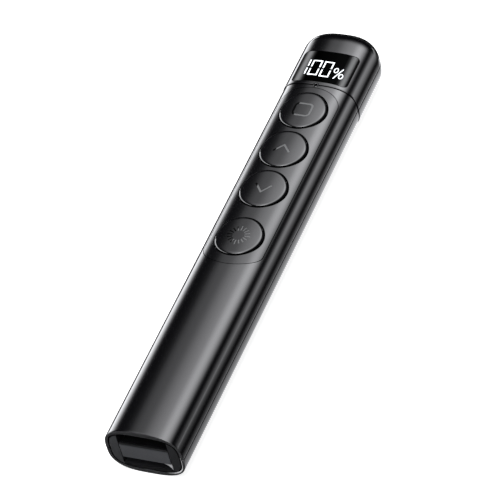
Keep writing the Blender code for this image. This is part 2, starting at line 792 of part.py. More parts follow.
def lower_housing(frame):
    """The lower half shell, with screw bosses, battery ribs, the neck for the head and the port's mouth."""
    shell = piece("lower_housing", half_body(-1), shell_black(), frame)
    cut(shell, helper("lower_cavity", body_cavity(), frame))
    boss_bottom = floor(SCREW_X) - EMBED
    bosses = [
        extrude(circle(BOSS_RADIUS, place), boss_bottom, BOARD_BOTTOM - SEAT_GAP, "z")
        for place in screw_places()
    ]
    join(shell, helper("lower_bosses", merged(bosses), frame))
    join(shell, helper("lower_battery_ribs", battery_ribs(-1), frame))
    cut(shell, helper("battery_seat", battery_seat(), frame))
    join(shell, helper("head_neck", head_neck(), frame))
    cut(shell, helper("neck_bore", neck_bore(), frame))
    pilot_end = SCREW_SEAT - SCREW_LENGTH - SEAT_GAP
    pilots = [
        extrude(circle(SCREW_SHANK_RADIUS + FINE_GAP, place, SMALL_ROUND_STEPS), pilot_end, OVERRUN, "z")
        for place in screw_places()
    ]
    cut(shell, helper("screw_pilots", merged(pilots), frame))
    cut(shell, helper("port_mouth", port_mouth(), frame))
    return shell


def rib_at(y, half_width, half_height, side):
    """A cross rib with its edges inside the wall, on the upper side (1) or on the lower side (-1)."""
    arc = cavity_arc(half_width + EMBED, half_height + EMBED, side, RIB_DROP)
    rib = loft([[(x, y, z) for x, z in arc], [(x, y + RIB_THICKNESS, z) for x, z in arc]])
    bmesh.ops.recalc_face_normals(rib, faces=rib.faces)
    return rib


def end_rib_places():
    """The ribs that the battery's ends lie against."""
    return (BATTERY_REAR_Y - SEAT_GAP - RIB_THICKNESS, BATTERY_REAR_Y + BATTERY_LENGTH + SEAT_GAP)


def saddle_places():
    """The ribs that the battery lies on."""
    rear, front = end_rib_places()
    inset = (front - rear) * SADDLE_SHARE
    return (rear + inset, front - inset)


def battery_ribs(side):
    """End ribs in both halves, and the saddles in the lower half."""
    if side > 0:
        return merged([rib_at(y, CAVITY_HALF_WIDTH, CAVITY_TOP, side) for y in end_rib_places()])
    places = (*end_rib_places(), *saddle_places())
    return merged([rib_at(y, CAVITY_HALF_WIDTH, CAVITY_BOTTOM, side) for y in places])


def battery_seat():
    """The round space in the saddles, as long as the battery."""
    outline = circle(BATTERY_RADIUS + SEAT_GAP, (0.0, battery_middle()), INNER_ROUND_STEPS)
    return extrude(outline, BATTERY_REAR_Y - SEAT_GAP, BATTERY_REAR_Y + BATTERY_LENGTH + SEAT_GAP, "y")


def battery_middle():
    return (CAVITY_TOP - CAVITY_BOTTOM) / 2


def lead_notch():
    """The way for the leads through the upper front rib."""
    half_width = LEAD_X + LEAD_RADIUS + LEAD_AIR
    low = (-half_width, BATTERY_REAR_Y + BATTERY_LENGTH, 0.0)
    end = BATTERY_REAR_Y + BATTERY_LENGTH + LEAD_ROOM
    return box(low, (half_width, end, LEAD_START_Z + LEAD_RADIUS + LEAD_AIR))


def neck_half(grow):
    """Half width and depth of the neck's outer side, or of its bore with a negative growth."""
    half_width = HEAD_HALF_WIDTH - HEAD_WALL_SIDE - SEAT_GAP + grow
    depth = HEAD_HALF_THICKNESS - HEAD_WALL_BOTTOM - SEAT_GAP + grow
    return half_width, depth


def head_neck():
    """A stepped half ring under the board: its flange starts in the housing's wall, and its neck enters the head."""
    flange = (CAVITY_HALF_WIDTH + EMBED, CAVITY_BOTTOM + EMBED)
    neck = neck_half(0.0)
    rings = []
    for y, (half_width, depth) in (
        (BODY_END_Y - NECK_FLANGE, flange),
        (BODY_END_Y - 2 * SEAT_GAP, flange),
        (BODY_END_Y - SEAT_GAP, neck),
        (BODY_END_Y + NECK_LENGTH, neck),
    ):
        arc = cavity_arc(half_width, depth, -1, SEAT_GAP - BOARD_BOTTOM)
        rings.append([(x, y, z) for x, z in arc])
    return loft(rings)


def neck_bore():
    half_width, depth = neck_half(-NECK_WALL)
    section = cavity_section(half_width, depth, depth)
    start = BODY_END_Y - NECK_FLANGE - OVERRUN
    return extrude(section, start, BODY_END_Y + NECK_LENGTH + OVERRUN, "y")


def port_middle():
    return BOARD_PART_TOP - PORT_HEIGHT / 2


def port_mouth():
    """The opening in the left wall through which the charging plug enters."""
    outline = slot((PORT_Y, port_middle()), PORT_WIDTH / 2 + SEAT_GAP, PORT_HEIGHT / 2 + SEAT_GAP)
    return extrude(outline, -HALF_WIDTH - OVERRUN, PORT_MOUTH_REACH - CAVITY_HALF_WIDTH, "x")


def head_upper_cover(frame):
    cover = piece("head_upper_cover", half_head(1), shell_black(), frame)
    cut(cover, helper("head_upper_cavity", head_cavity(), frame))
    cut(cover, window_recess(frame))
    low = (-MODULE_HALF_WIDTH - SEAT_GAP, MODULE_REAR_Y - SEAT_GAP)
    high = (MODULE_HALF_WIDTH + SEAT_GAP, MODULE_FRONT_Y + SEAT_GAP)
    opening = extrude(rectangle(low, high), 0.0, HEAD_HALF_THICKNESS + OVERRUN, "z")
    cut(cover, helper("module_opening", opening, frame))
    cut(cover, helper("head_guide_hole", guide_hole(), frame))
    cut(cover, helper("upper_front_hole", front_hole(), frame))
    return cover


def head_lower_cover(frame):
    """The head's lower half, with two ribs that carry the pointer light."""
    cover = piece("head_lower_cover", half_head(-1), shell_black(), frame)
    cut(cover, helper("head_lower_cavity", head_cavity(), frame))
    half_width = HEAD_HALF_WIDTH - HEAD_WALL_SIDE
    depth = HEAD_HALF_THICKNESS - HEAD_WALL_BOTTOM
    places = (POINTER_REAR_Y + POINTER_RIB_INSET, LENGTH - HEAD_FRONT_WALL - HEAD_PLAN_ROUNDING)
    ribs = merged([rib_at(y, half_width, depth, -1) for y in places])
    join(cover, helper("pointer_ribs", ribs, frame))
    outline = circle(POINTER_RADIUS + SEAT_GAP, steps=INNER_ROUND_STEPS)
    seat = extrude(outline, POINTER_REAR_Y, POINTER_FRONT_Y, "y")
    cut(cover, helper("pointer_seat", seat, frame))
    cut(cover, helper("lower_front_hole", front_hole(), frame))
    return cover


# Panel and buttons


def control_panel(frame):
    """A thin inlay that follows the crown of the body, with a round hole for each button."""
    half_width = PANEL_HALF_WIDTH + WALL_SIDE
    plate = slab(half_width, crown, lambda x: crown(x) - PANEL_THICKNESS, PANEL_REAR_Y - OVERRUN, PANEL_FRONT_Y + OVERRUN)
    panel = piece("control_panel", plate, panel_black(), frame)
    trim(panel, helper("panel_outline_tool", extrude(panel_outline(), 0.0, HALF_THICKNESS + OVERRUN, "z"), frame))
    holes = [extrude(circle(HOLE_RADIUS, (0.0, y)), 0.0, HALF_THICKNESS + OVERRUN, "z") for y in BUTTONS.values()]
    cut(panel, helper("panel_holes", merged(holes), frame))
    return panel


def button(name, y, frame):
    """A push button: a crowned cap on a skirt, a lip that keeps it in, and a post for the key below."""
    radius = BUTTON_RADIUS
    shoulder = radius - BUTTON_EDGE
    under_cap = BUTTON_PROUD - BUTTON_CAP
    inner_radius = radius - BUTTON_SKIRT
    profile = [
        (0.0, BUTTON_PROUD, 1),
        (shoulder / 2, BUTTON_PROUD, 1),
        (shoulder, BUTTON_PROUD, 1),
        (shoulder + BUTTON_EDGE * sin(pi / 4), BUTTON_PROUD - BUTTON_EDGE * (1 - cos(pi / 4)), 1),
        (radius, BUTTON_PROUD - BUTTON_EDGE, 1),
        (radius, FLANGE_TOP, 0),
        (FLANGE_RADIUS, FLANGE_TOP, 0),
        (FLANGE_RADIUS, FLANGE_BOTTOM, 0),
        (inner_radius, FLANGE_BOTTOM, 0),
        (inner_radius, under_cap, 1),
        (BUTTON_POST_RADIUS, under_cap, 1),
        (BUTTON_POST_RADIUS, FLANGE_BOTTOM, 0),
        (0.0, FLANGE_BOTTOM, 0),
    ]

    def on_crown(r, angle, height, follow):
        x = r * cos(angle)
        return (x, y + r * sin(angle), height + follow * crown(x))

    shape = turned(profile, ROUND_STEPS, on_crown)
    return piece(name, shape, panel_black(), frame, (0.0, y, HALF_THICKNESS))


def keypad_mat(frame):
    """A thin rubber sheet with a raised pad under each button and clearance round the bosses."""
    start = BUTTONS["button_light"] - BUTTON_RADIUS - MAT_MARGIN
    end = BUTTONS["button_menu"] + BUTTON_RADIUS + MAT_MARGIN
    outline = rectangle((-MAT_HALF_WIDTH, start), (MAT_HALF_WIDTH, end), BOARD_CORNER)
    mat = piece("keypad_mat", extrude(outline, MAT_BOTTOM, MAT_TOP, "z"), mat_silicone(), frame)
    pads = [
        extrude(circle(PLUNGER_RADIUS, (0.0, y), SMALL_ROUND_STEPS), MAT_TOP - EMBED, PLUNGER_TOP, "z")
        for y in BUTTONS.values()
    ]
    join(mat, helper("mat_pads", merged(pads), frame))
    places = screw_places()
    clear = BOSS_RADIUS + SEAT_GAP
    holes = [extrude(circle(clear, place, SMALL_ROUND_STEPS), BOARD_TOP, HALF_THICKNESS, "z") for place in places]
    cut(mat, helper("mat_holes", merged(holes), frame))
    return mat


def key_switch(name, y, frame):
    """A small switch on the board: a square body with a round stem."""
    half = SWITCH_SIDE / 2
    body_top = SWITCH_BOTTOM + SWITCH_BODY_HEIGHT
    body = box((-half, y - half, SWITCH_BOTTOM), (half, y + half, body_top))
    switch = piece(name, body, steel(), frame)
    outline = circle(SWITCH_STEM_RADIUS, (0.0, y), SMALL_ROUND_STEPS)
    stem = extrude(outline, SWITCH_BOTTOM + EMBED, SWITCH_TOP, "z")
    join(switch, helper(f"{name}_stem", stem, frame))
    return switch


# Board and what it carries


def main_board(frame):
    outline = rectangle((-BOARD_HALF_WIDTH, BOARD_REAR_Y), (BOARD_HALF_WIDTH, BOARD_FRONT_Y), BOARD_CORNER)
    board = piece("main_board", extrude(outline, BOARD_BOTTOM, BOARD_TOP, "z"), board_green(), frame)
    hole_radius = SCREW_SHANK_RADIUS + SEAT_GAP
    holes = [
        extrude(circle(hole_radius, place, SMALL_ROUND_STEPS), BOARD_BOTTOM - OVERRUN, BOARD_TOP + OVERRUN, "z")
        for place in screw_places()
    ]
    cut(board, helper("board_holes", merged(holes), frame))
    return board


def housing_screw(name, place, frame):
    """A self-tapping screw that runs down through the board into a lower boss."""
    profile = [
        (0.0, SCREW_TOP - SCREW_DRIVE_DEPTH, 0.0),
        (SCREW_DRIVE_RADIUS, SCREW_TOP - SCREW_DRIVE_DEPTH, 0.0),
        (SCREW_DRIVE_RADIUS, SCREW_TOP, 0.0),
        (SCREW_HEAD_RADIUS, SCREW_TOP, 0.0),
        (SCREW_HEAD_RADIUS, SCREW_SEAT, 0.0),
        (SCREW_SHANK_RADIUS, SCREW_SEAT, 0.0),
        (SCREW_SHANK_RADIUS, SCREW_SEAT - SCREW_LENGTH + SCREW_SHANK_RADIUS, 0.0),
        (0.0, SCREW_SEAT - SCREW_LENGTH, 0.0),
    ]
    shape = turned(profile, SMALL_ROUND_STEPS, upright)
    bmesh.ops.translate(shape, verts=shape.verts, vec=(*place, 0.0))
    return piece(name, shape, steel(), frame)


def on_underside(name, size, y, edge, material, frame):
    """A box-shaped part that hangs under the board."""
    half_x = size[0] / 2
    half_y = size[1] / 2
    low = (-half_x, y - half_y, BOARD_PART_TOP - size[2])
    high = (half_x, y + half_y, BOARD_PART_TOP)
    made = piece(name, box(low, high), material, frame)
    soften(made, edge)
    return made


def charging_port(frame):
    """A socket with rounded ends on the board's left edge, with its contact tongue inside."""
    middle = port_middle()
    mouth = -HALF_WIDTH + PORT_INSET
    outer = slot((PORT_Y, middle), PORT_WIDTH / 2, PORT_HEIGHT / 2)
    port = piece("charging_port", extrude(outer, mouth, mouth + PORT_DEPTH, "x"), steel(), frame)
    inner = slot((PORT_Y, middle), PORT_WIDTH / 2 - PORT_WALL, PORT_HEIGHT / 2 - PORT_WALL)
    back = mouth + PORT_DEPTH - PORT_BACK
    bore = extrude(inner, mouth - OVERRUN, back, "x")
    cut(port, helper("port_bore", bore, frame))
    tongue_low = (back - PORT_TONGUE_LENGTH, PORT_Y - PORT_TONGUE_WIDTH / 2, middle - PORT_TONGUE_HEIGHT / 2)
    tongue_high = (back + EMBED, PORT_Y + PORT_TONGUE_WIDTH / 2, middle + PORT_TONGUE_HEIGHT / 2)
    join(port, helper("port_tongue", box(tongue_low, tongue_high), frame))
    return port


def battery_cell(frame):
    """A round cell between the end ribs and on the saddles, with its raised cap towards the board."""
    end = BATTERY_REAR_Y + BATTERY_LENGTH
    shoulder = end - BATTERY_CAP_HEIGHT
    profile = [
        (0.0, BATTERY_REAR_Y, 0.0),
        (BATTERY_RADIUS - BATTERY_EDGE, BATTERY_REAR_Y, 0.0),
        (BATTERY_RADIUS, BATTERY_REAR_Y + BATTERY_EDGE, 0.0),
        (BATTERY_RADIUS, shoulder - BATTERY_EDGE, 0.0),
        (BATTERY_RADIUS - BATTERY_EDGE, shoulder, 0.0),
        (BATTERY_CAP_RADIUS, shoulder, 0.0),
        (BATTERY_CAP_RADIUS, end, 0.0),
        (0.0, end, 0.0),
    ]
    shape = turned(profile, INNER_ROUND_STEPS, along_length)
    bmesh.ops.translate(shape, verts=shape.verts, vec=(0.0, 0.0, battery_middle()))
    return piece("battery_cell", shape, cell_wrap(), frame)


def battery_lead(name, x, material, frame):
    """A short wire from the front of the cell to the board's upper side."""
    start_y = BATTERY_REAR_Y + BATTERY_LENGTH + SEAT_GAP
    end_y = BOARD_REAR_Y + LEAD_REACH
    end_z = BOARD_TOP + SEAT_GAP + LEAD_RADIUS
    curve = bpy.data.curves.new(name, "CURVE")
    curve.dimensions = "3D"
    curve.bevel_depth = LEAD_RADIUS
    curve.bevel_resolution = 2
    curve.use_fill_caps = True
    spline = curve.splines.new("POLY")
    spline.points.add(LEAD_STEPS)
    for i, point in enumerate(spline.points):
        share = i / LEAD_STEPS
        height = LEAD_START_Z + (end_z - LEAD_START_Z) * eased(share)
        point.co = (x, start_y + (end_y - start_y) * share, height, 1.0)
    curve.materials.append(material)
    lead = bpy.data.objects.new(name, curve)
    lead.parent = frame
    bpy.context.scene.collection.objects.link(lead)
    return lead


# Status light, display and pointer


def status_light_guide(frame):
    """A round pin that stands on the seam of the head, flush with the head, with a small bore in its top."""
    top = HEAD_HALF_THICKNESS
    bottom = BOARD_TOP + EMITTER_SIZE[2] + 2 * SEAT_GAP
    profile = [
        (0.0, top - GUIDE_BORE_DEPTH, 0.0),
        (GUIDE_BORE_RADIUS, top - GUIDE_BORE_DEPTH, 0.0),
        (GUIDE_BORE_RADIUS, top, 0.0),
        (GUIDE_RADIUS, top, 0.0),
        (GUIDE_RADIUS, bottom, 0.0),
        (0.0, bottom, 0.0),
    ]
    shape = turned(profile, SMALL_ROUND_STEPS, upright)
    bmesh.ops.translate(shape, verts=shape.verts, vec=(0.0, GUIDE_Y, 0.0))
    return piece("status_light_guide", shape, clear_plastic(), frame)


def status_emitter(frame):
    half_x = EMITTER_SIZE[0] / 2
    half_y = EMITTER_SIZE[1] / 2
    base = BOARD_TOP + SEAT_GAP
    shape = box((-half_x, GUIDE_Y - half_y, base), (half_x, GUIDE_Y + half_y, base + EMITTER_SIZE[2]))
    return piece("status_emitter", shape, clear_plastic(), frame)


def display_window(frame):
    """A curved window, flush with the head and rounded at its corners."""
    half_width = WINDOW_HALF_WIDTH + HEAD_WALL_SIDE
    start = WINDOW_REAR_Y - OVERRUN
    end = WINDOW_FRONT_Y + OVERRUN
    plate = slab(half_width, head_crown, lambda x: head_crown(x) - WINDOW_THICKNESS, start, end)
    window = piece("display_window", plate, window_black(), frame)
    outline = extrude(window_outline(), 0.0, HEAD_HALF_THICKNESS + OVERRUN, "z")
    trim(window, helper("window_outline_tool", outline, frame))
    return window


def display_module(frame):
    low = (-MODULE_HALF_WIDTH, MODULE_REAR_Y, MODULE_BOTTOM)
    high = (MODULE_HALF_WIDTH, MODULE_FRONT_Y, MODULE_TOP)
    module = piece("display_module", box(low, high), chip_black(), frame)
    soften(module, MODULE_EDGE)
    return module


def display_flex(frame):
    """A thin ribbon in a smooth step from under the display module down to the board."""
    top_z = MODULE_BOTTOM - SEAT_GAP - FLEX_THICKNESS
    low_z = BOARD_TOP + SEAT_GAP
    start = BOARD_FRONT_Y - FLEX_LAP
    end = MODULE_REAR_Y + FLEX_LAP
    upper = []
    lower = []
    for step in range(LEAD_STEPS + 1):
        share = step / LEAD_STEPS
        y = start + (end - start) * share
        z = low_z + (top_z - low_z) * eased(share)
        lower.append((y, z))
        upper.append((y, z + FLEX_THICKNESS))
    shape = extrude(lower + upper[::-1], FLEX_X - FLEX_HALF_WIDTH, FLEX_X + FLEX_HALF_WIDTH, "x")
    return piece("display_flex", shape, flex_orange(), frame)


def pointer_module(frame):
    """A turned barrel with a narrower nose that reaches up to the lens."""
    profile = [
        (0.0, POINTER_REAR_Y, 0.0),
        (POINTER_RADIUS - POINTER_EDGE, POINTER_REAR_Y, 0.0),
        (POINTER_RADIUS, POINTER_REAR_Y + POINTER_EDGE, 0.0),
        (POINTER_RADIUS, POINTER_FRONT_Y - POINTER_EDGE, 0.0),
        (POINTER_RADIUS - POINTER_EDGE, POINTER_FRONT_Y, 0.0),
        (POINTER_NOSE_RADIUS, POINTER_FRONT_Y, 0.0),
        (POINTER_NOSE_RADIUS, POINTER_END_Y, 0.0),
        (0.0, POINTER_END_Y, 0.0),
    ]
    shape = turned(profile, INNER_ROUND_STEPS, along_length)
    return piece("pointer_module", shape, gold_contact(), frame)


def pointer_lens(frame):
    """A small domed lens in the front hole, whose middle is the foremost point of the presenter."""
    profile = [
        (0.0, LENGTH - LENS_THICKNESS, 0.0),
        (LENS_RADIUS, LENGTH - LENS_THICKNESS, 0.0),
        (LENS_RADIUS, LENGTH - LENS_DOME, 0.0),
        (LENS_RADIUS / 2, LENGTH - LENS_DOME / 4, 0.0),
        (0.0, LENGTH, 0.0),
    ]
    shape = turned(profile, ROUND_STEPS, along_length)
    return piece("pointer_lens", shape, clear_plastic(), frame)


# Receiver and its cradle


def receiver_block(width, height, corner):
    half_width = width / 2
    half_height = height / 2
    return rectangle((-half_width, RECEIVER_Z - half_height), (half_width, RECEIVER_Z + half_height), corner)


def receiver_housing(frame):
    """The flat head of the receiver, flush with the tail."""
    outline = receiver_block(RECEIVER_WIDTH, RECEIVER_HEIGHT, RECEIVER_CORNER)
    shape = extrude(outline, 0.0, RECEIVER_DEPTH, "y")
    head = piece("receiver_housing", shape, shell_black(), frame, RECEIVER_ORIGIN)
    soften(head, RECEIVER_EDGE, SQUARE_EDGE_ANGLE)
    return head


def receiver_plug_shell(frame):
    """The folded metal shell of the plug, open at both ends, with two square holes above and below."""
    outline = receiver_block(PLUG_WIDTH, PLUG_HEIGHT, PLUG_CORNER)
    shape = extrude(outline, PLUG_START_Y, PLUG_END_Y, "y")
    shell = piece("receiver_plug_shell", shape, steel(), frame, RECEIVER_ORIGIN)
    inside = receiver_block(PLUG_WIDTH - 2 * PLUG_WALL, PLUG_HEIGHT - 2 * PLUG_WALL, PLUG_CORNER - PLUG_WALL)
    bore = extrude(inside, PLUG_START_Y - OVERRUN, PLUG_END_Y + OVERRUN, "y")
    cut(shell, helper("plug_bore", bore, frame))
    half = PLUG_HOLE_SIDE / 2
    y = PLUG_END_Y - PLUG_HOLE_Y
    reach = PLUG_HEIGHT / 2 + OVERRUN
    holes = [
        box((x - half, y - half, RECEIVER_Z - reach), (x + half, y + half, RECEIVER_Z + reach))
        for x in (-PLUG_HOLE_X, PLUG_HOLE_X)
    ]
    cut(shell, helper("plug_holes", merged(holes), frame))
    return shell


def tongue_bottom():
    return RECEIVER_Z - PLUG_HEIGHT / 2 + PLUG_WALL + FINE_GAP


def receiver_tongue(frame):
    """The plastic carrier in the plug: a full block behind and a flat tongue in front."""
    half_width = PLUG_WIDTH / 2 - PLUG_WALL - FINE_GAP
    bottom = tongue_bottom()
    top = RECEIVER_Z + PLUG_HEIGHT / 2 - PLUG_WALL - FINE_GAP
    step_y = PLUG_START_Y + TONGUE_BASE
    tip_y = PLUG_END_Y - TONGUE_SETBACK
    outline = [
        (PLUG_START_Y, bottom),
        (tip_y, bottom),
        (tip_y, bottom + TONGUE_HEIGHT),
        (step_y, bottom + TONGUE_HEIGHT),
        (step_y, top),
        (PLUG_START_Y, top),
    ]
    shape = extrude(outline, -half_width, half_width, "x")
    return piece("receiver_tongue", shape, inner_plastic(), frame, RECEIVER_ORIGIN)


def receiver_contact(name, x, frame):
    """A flat contact strip on the tongue."""
    base = tongue_bottom() + TONGUE_HEIGHT + FINE_GAP
    start = PLUG_START_Y + TONGUE_BASE + SEAT_GAP
    half = CONTACT_WIDTH / 2
    strip = box((x - half, start, base), (x + half, start + CONTACT_LENGTH, base + CONTACT_THICKNESS))
    return piece(name, strip, gold_contact(), frame, RECEIVER_ORIGIN)


def receiver_cradle(frame):
    """The insert in the tail: two D-shaped end blocks on a floor, a back wall and the socket for the plug."""
    half_width = CAVITY_HALF_WIDTH - SEAT_GAP
    section = cavity_section(half_width, CAVITY_TOP - SEAT_GAP, CAVITY_BOTTOM - SEAT_GAP)
    back_y = BAY_END_Y + CRADLE_BACK
    cradle = piece("receiver_cradle", extrude(section, CRADLE_INSET, back_y, "y"), shell_black(), frame)
    socket_half_width = PLUG_WIDTH / 2 + SEAT_GAP
    socket_half_height = PLUG_HEIGHT / 2 + SEAT_GAP
    wall = CRADLE_BOX_WALL
    outer_low = (-socket_half_width - wall, back_y - EMBED, RECEIVER_Z - socket_half_height - wall)
    outer_high = (socket_half_width + wall, CRADLE_END_Y, RECEIVER_Z + socket_half_height + wall)
    join(cradle, helper("socket_box", box(outer_low, outer_high), frame))
    bay_low = (-BAY_HALF_WIDTH, -OVERRUN, CRADLE_FLOOR_Z)
    bay_high = (BAY_HALF_WIDTH, BAY_END_Y, HALF_THICKNESS)
    cut(cradle, helper("receiver_bay", box(bay_low, bay_high), frame))
    bore_low = (-socket_half_width, 0.0, RECEIVER_Z - socket_half_height)
    bore_high = (socket_half_width, PLUG_END_Y + SEAT_GAP, RECEIVER_Z + socket_half_height)
    cut(cradle, helper("plug_socket", box(bore_low, bore_high), frame))
    half_x = MAGNET_SIZE[0] / 2 + FINE_GAP
    half_z = MAGNET_SIZE[2] / 2 + FINE_GAP
    pocket_low = (-half_x, PLUG_END_Y + SEAT_GAP + MAGNET_WALL, RECEIVER_Z - half_z)
    pocket_high = (half_x, CRADLE_END_Y + OVERRUN, RECEIVER_Z + half_z)
    cut(cradle, helper("magnet_pocket", box(pocket_low, pocket_high), frame))
    return cradle


def cradle_magnet(frame):
    """A small block magnet in the pocket behind the plug."""
    half_x = MAGNET_SIZE[0] / 2
    half_z = MAGNET_SIZE[2] / 2
    start = PLUG_END_Y + SEAT_GAP + MAGNET_WALL + FINE_GAP
    low = (-half_x, start, RECEIVER_Z - half_z)
    high = (half_x, start + MAGNET_SIZE[1], RECEIVER_Z + half_z)
    return piece("cradle_magnet", box(low, high), steel(), frame)


def presenter():
    clear_scene()
    frame = bpy.data.objects.new("presenter_frame", None)
    frame.location = (0.0, -LENGTH / 2, REST_DROP)
    bpy.context.scene.collection.objects.link(frame)
    upper_housing(frame)
    lower_housing(frame)
    head_upper_cover(frame)
    head_lower_cover(frame)
    control_panel(frame)
    for name, y in BUTTONS.items():
        button(name, y, frame)
    keypad_mat(frame)
    for name, y in BUTTONS.items():
        key_switch(name.replace("button", "switch"), y, frame)
    main_board(frame)
    for number, place in enumerate(screw_places(), 1):
        housing_screw(f"housing_screw_{number}", place, frame)
    on_underside("radio_shield", SHIELD_SIZE, SHIELD_Y, SHIELD_EDGE, steel(), frame)
    on_underside("controller_chip", CHIP_SIZE, CHIP_Y, CHIP_EDGE, chip_black(), frame)
    charging_port(frame)
    battery_cell(frame)
    battery_lead("battery_lead_left", -LEAD_X, lead_red(), frame)
    battery_lead("battery_lead_right", LEAD_X, lead_black(), frame)
    status_light_guide(frame)
    status_emitter(frame)
    display_window(frame)
    display_module(frame)
    display_flex(frame)
    pointer_module(frame)
    pointer_lens(frame)
    receiver_housing(frame)
    receiver_plug_shell(frame)
    receiver_tongue(frame)
    for i in range(CONTACT_COUNT):
        receiver_contact(f"receiver_contact_{i + 1}", CONTACT_PITCH * (i - (CONTACT_COUNT - 1) / 2), frame)
    receiver_cradle(frame)
    cradle_magnet(frame)


presenter()
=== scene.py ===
# %% [markdown]
# # A hand-held wireless presenter
#
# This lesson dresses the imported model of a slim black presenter: a rounded bar with four push
# buttons, a small charge display in its head and a plug-in receiver in its tail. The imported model
# gives every size. The fine visible pieces are modelled again here, with rounded edges and smooth
# curves that catch the light, and each piece that already has the right shape keeps it and gets a
# finish.

import math

import bmesh
import bpy
from mathutils import Matrix, Vector


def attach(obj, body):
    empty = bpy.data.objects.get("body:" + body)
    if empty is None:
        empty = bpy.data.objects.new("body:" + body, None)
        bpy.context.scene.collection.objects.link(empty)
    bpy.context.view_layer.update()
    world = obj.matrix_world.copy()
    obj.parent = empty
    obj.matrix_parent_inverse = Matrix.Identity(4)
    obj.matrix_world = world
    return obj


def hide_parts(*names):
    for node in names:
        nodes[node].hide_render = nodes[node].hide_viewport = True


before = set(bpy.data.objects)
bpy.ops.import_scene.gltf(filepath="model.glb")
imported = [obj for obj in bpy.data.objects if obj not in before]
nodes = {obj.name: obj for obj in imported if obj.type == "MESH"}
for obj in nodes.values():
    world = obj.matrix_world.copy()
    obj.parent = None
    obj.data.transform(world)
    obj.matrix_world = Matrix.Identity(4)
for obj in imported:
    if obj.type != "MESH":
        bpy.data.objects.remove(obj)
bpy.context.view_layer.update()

# %% [markdown]
# All sizes below are in millimetres and in the body's own frame: x across, y from the tail plane
# towards the head, z from the middle plane. `at` turns them into the metres of the scene, where the
# presenter lies on the floor with its middle at the origin.

# %% Sizes that several pieces share
mm = 0.001
REST_DROP = 7.35  # from the middle plane down to the floor
LENGTH = 145.0
HALF_WIDTH = 10.5
HALF_HEIGHT = 7.45
BODY_POWER = 2.86  # the exponent of the section
CAVITY = (9.6, 6.05, -6.2)  # half width, top and bottom of the hollow
CAVITY_POWER = 3.6
HEAD_STEP = 0.13  # how far the head stands out round the body
SEAM_Y = 122.55
HALF_SEAM = 0.11
BUTTON_YS = {"menu": 113.0, "up": 98.65, "down": 84.3, "light": 67.3}
BUTTON_RADIUS = 6.35
HOLE_RADIUS = 6.7
GUIDE_RADIUS = 0.8
ABOVE = 9.5  # over every surface, where cutting tools end


def at(x, y, z):
    return Vector((x * mm, (y - LENGTH / 2) * mm, (z + REST_DROP) * mm))


print("tail at", at(0, 0, 0), "front end at", at(0, LENGTH, 0))

# %% [markdown]
# The cross-section is neither an ellipse nor a rounded rectangle. It is a superellipse, a curve
# whose bend grows evenly from the flat middle to the sides, which is what makes the light bands on
# the real body so smooth. One turn value stands for one point of the curve. The turn values are
# spaced evenly along the curve and in its direction, so that tight bends get more points than flat
# stretches.

# %% The section and its points


def power_of(value, exponent):
    return math.copysign(abs(value) ** exponent, value)


def section(turn, half_width, top, bottom, exponent):
    """The point (x, z) of a superellipse at one turn, flat where the presenter rests."""
    x = half_width * power_of(math.cos(turn), 2 / exponent)
    side = math.sin(turn)
    z = (top if side > 0 else -bottom) * power_of(side, 2 / exponent)
    return x, max(z, -REST_DROP)


FINE = 4000  # trial turns in a quarter, crowded at both its ends
BEND_WEIGHT = 3.0


def even_turns(count):
    """Turn values spaced by length and by change of direction, for a quarter and then mirrored."""
    dense = [math.pi / 2 * (i / FINE) ** 1.6 for i in range(FINE + 1)]
    mirrored = [math.pi / 2 - t for t in reversed(dense)]
    dense = sorted(set(dense[: FINE * 7 // 10] + mirrored[FINE * 3 // 10 :]))
    points = [section(t, HALF_WIDTH, HALF_HEIGHT, -HALF_HEIGHT, BODY_POWER) for t in dense]
    weights = [0.0]
    last = None
    for a, b in zip(points, points[1:]):
        step = math.hypot(b[0] - a[0], b[1] - a[1])
        heading = math.atan2(b[1] - a[1], b[0] - a[0])
        change = 0.0 if last is None else abs(math.remainder(heading - last, 2 * math.pi))
        weights.append(weights[-1] + step + BEND_WEIGHT * change)
        last = heading
    quarter = []
    for i in range(count // 4):
        target = weights[-1] * i / (count // 4)
        place = next(k for k, w in enumerate(weights) if w >= target)
        quarter.append(dense[place])
    quarter[0] = 0.0
    half = quarter + [math.pi / 2] + [math.pi - t for t in reversed(quarter[1:])]
    return half + [t + math.pi for t in half]


TURNS = even_turns(208)
print(len(TURNS), "points round the section")


def crown(x, grow=0.0):
    """Height of the body's surface above the middle plane at x."""
    share = min(abs(x) / (HALF_WIDTH + grow), 1.0)
    return (HALF_HEIGHT + grow) * (1 - share**BODY_POWER) ** (1 / BODY_POWER)


print("crown at the middle", crown(0), "and at the panel's edge", round(crown(8.1), 3))

# %% [markdown]
# These helpers do what the mouse does by hand: they pick one piece, go into edit mode and leave it
# again.

# %% Pick and edit


def deselect():
    if bpy.context.mode != "OBJECT":
        bpy.ops.object.mode_set(mode="OBJECT")
    bpy.ops.object.select_all(action="DESELECT")


def pick(piece):
    deselect()
    piece.select_set(True)
    bpy.context.view_layer.objects.active = piece


def edit(piece):
    pick(piece)
    bpy.ops.object.mode_set(mode="EDIT")
    bpy.ops.mesh.select_all(action="SELECT")


def done(piece):
    """Leaves edit mode with doubles merged and faces pointing outwards."""
    bpy.ops.mesh.select_all(action="SELECT")
    bpy.ops.mesh.remove_doubles(threshold=0.002 * mm)
    bpy.ops.mesh.normals_make_consistent(inside=False)
    bpy.ops.object.mode_set(mode="OBJECT")
    return piece


print("helpers to pick and edit ready")

# %% [markdown]
# Each round piece starts as one ring and is pulled out of it, ring after ring, as by hand with
# Extrude. Every point remembers its turn in an attribute that Extrude copies, so a ring can be laid
# on any section.

# %% Pieces pulled through rings


def round_turns(count):
    return [2 * math.pi * i / count for i in range(count)]


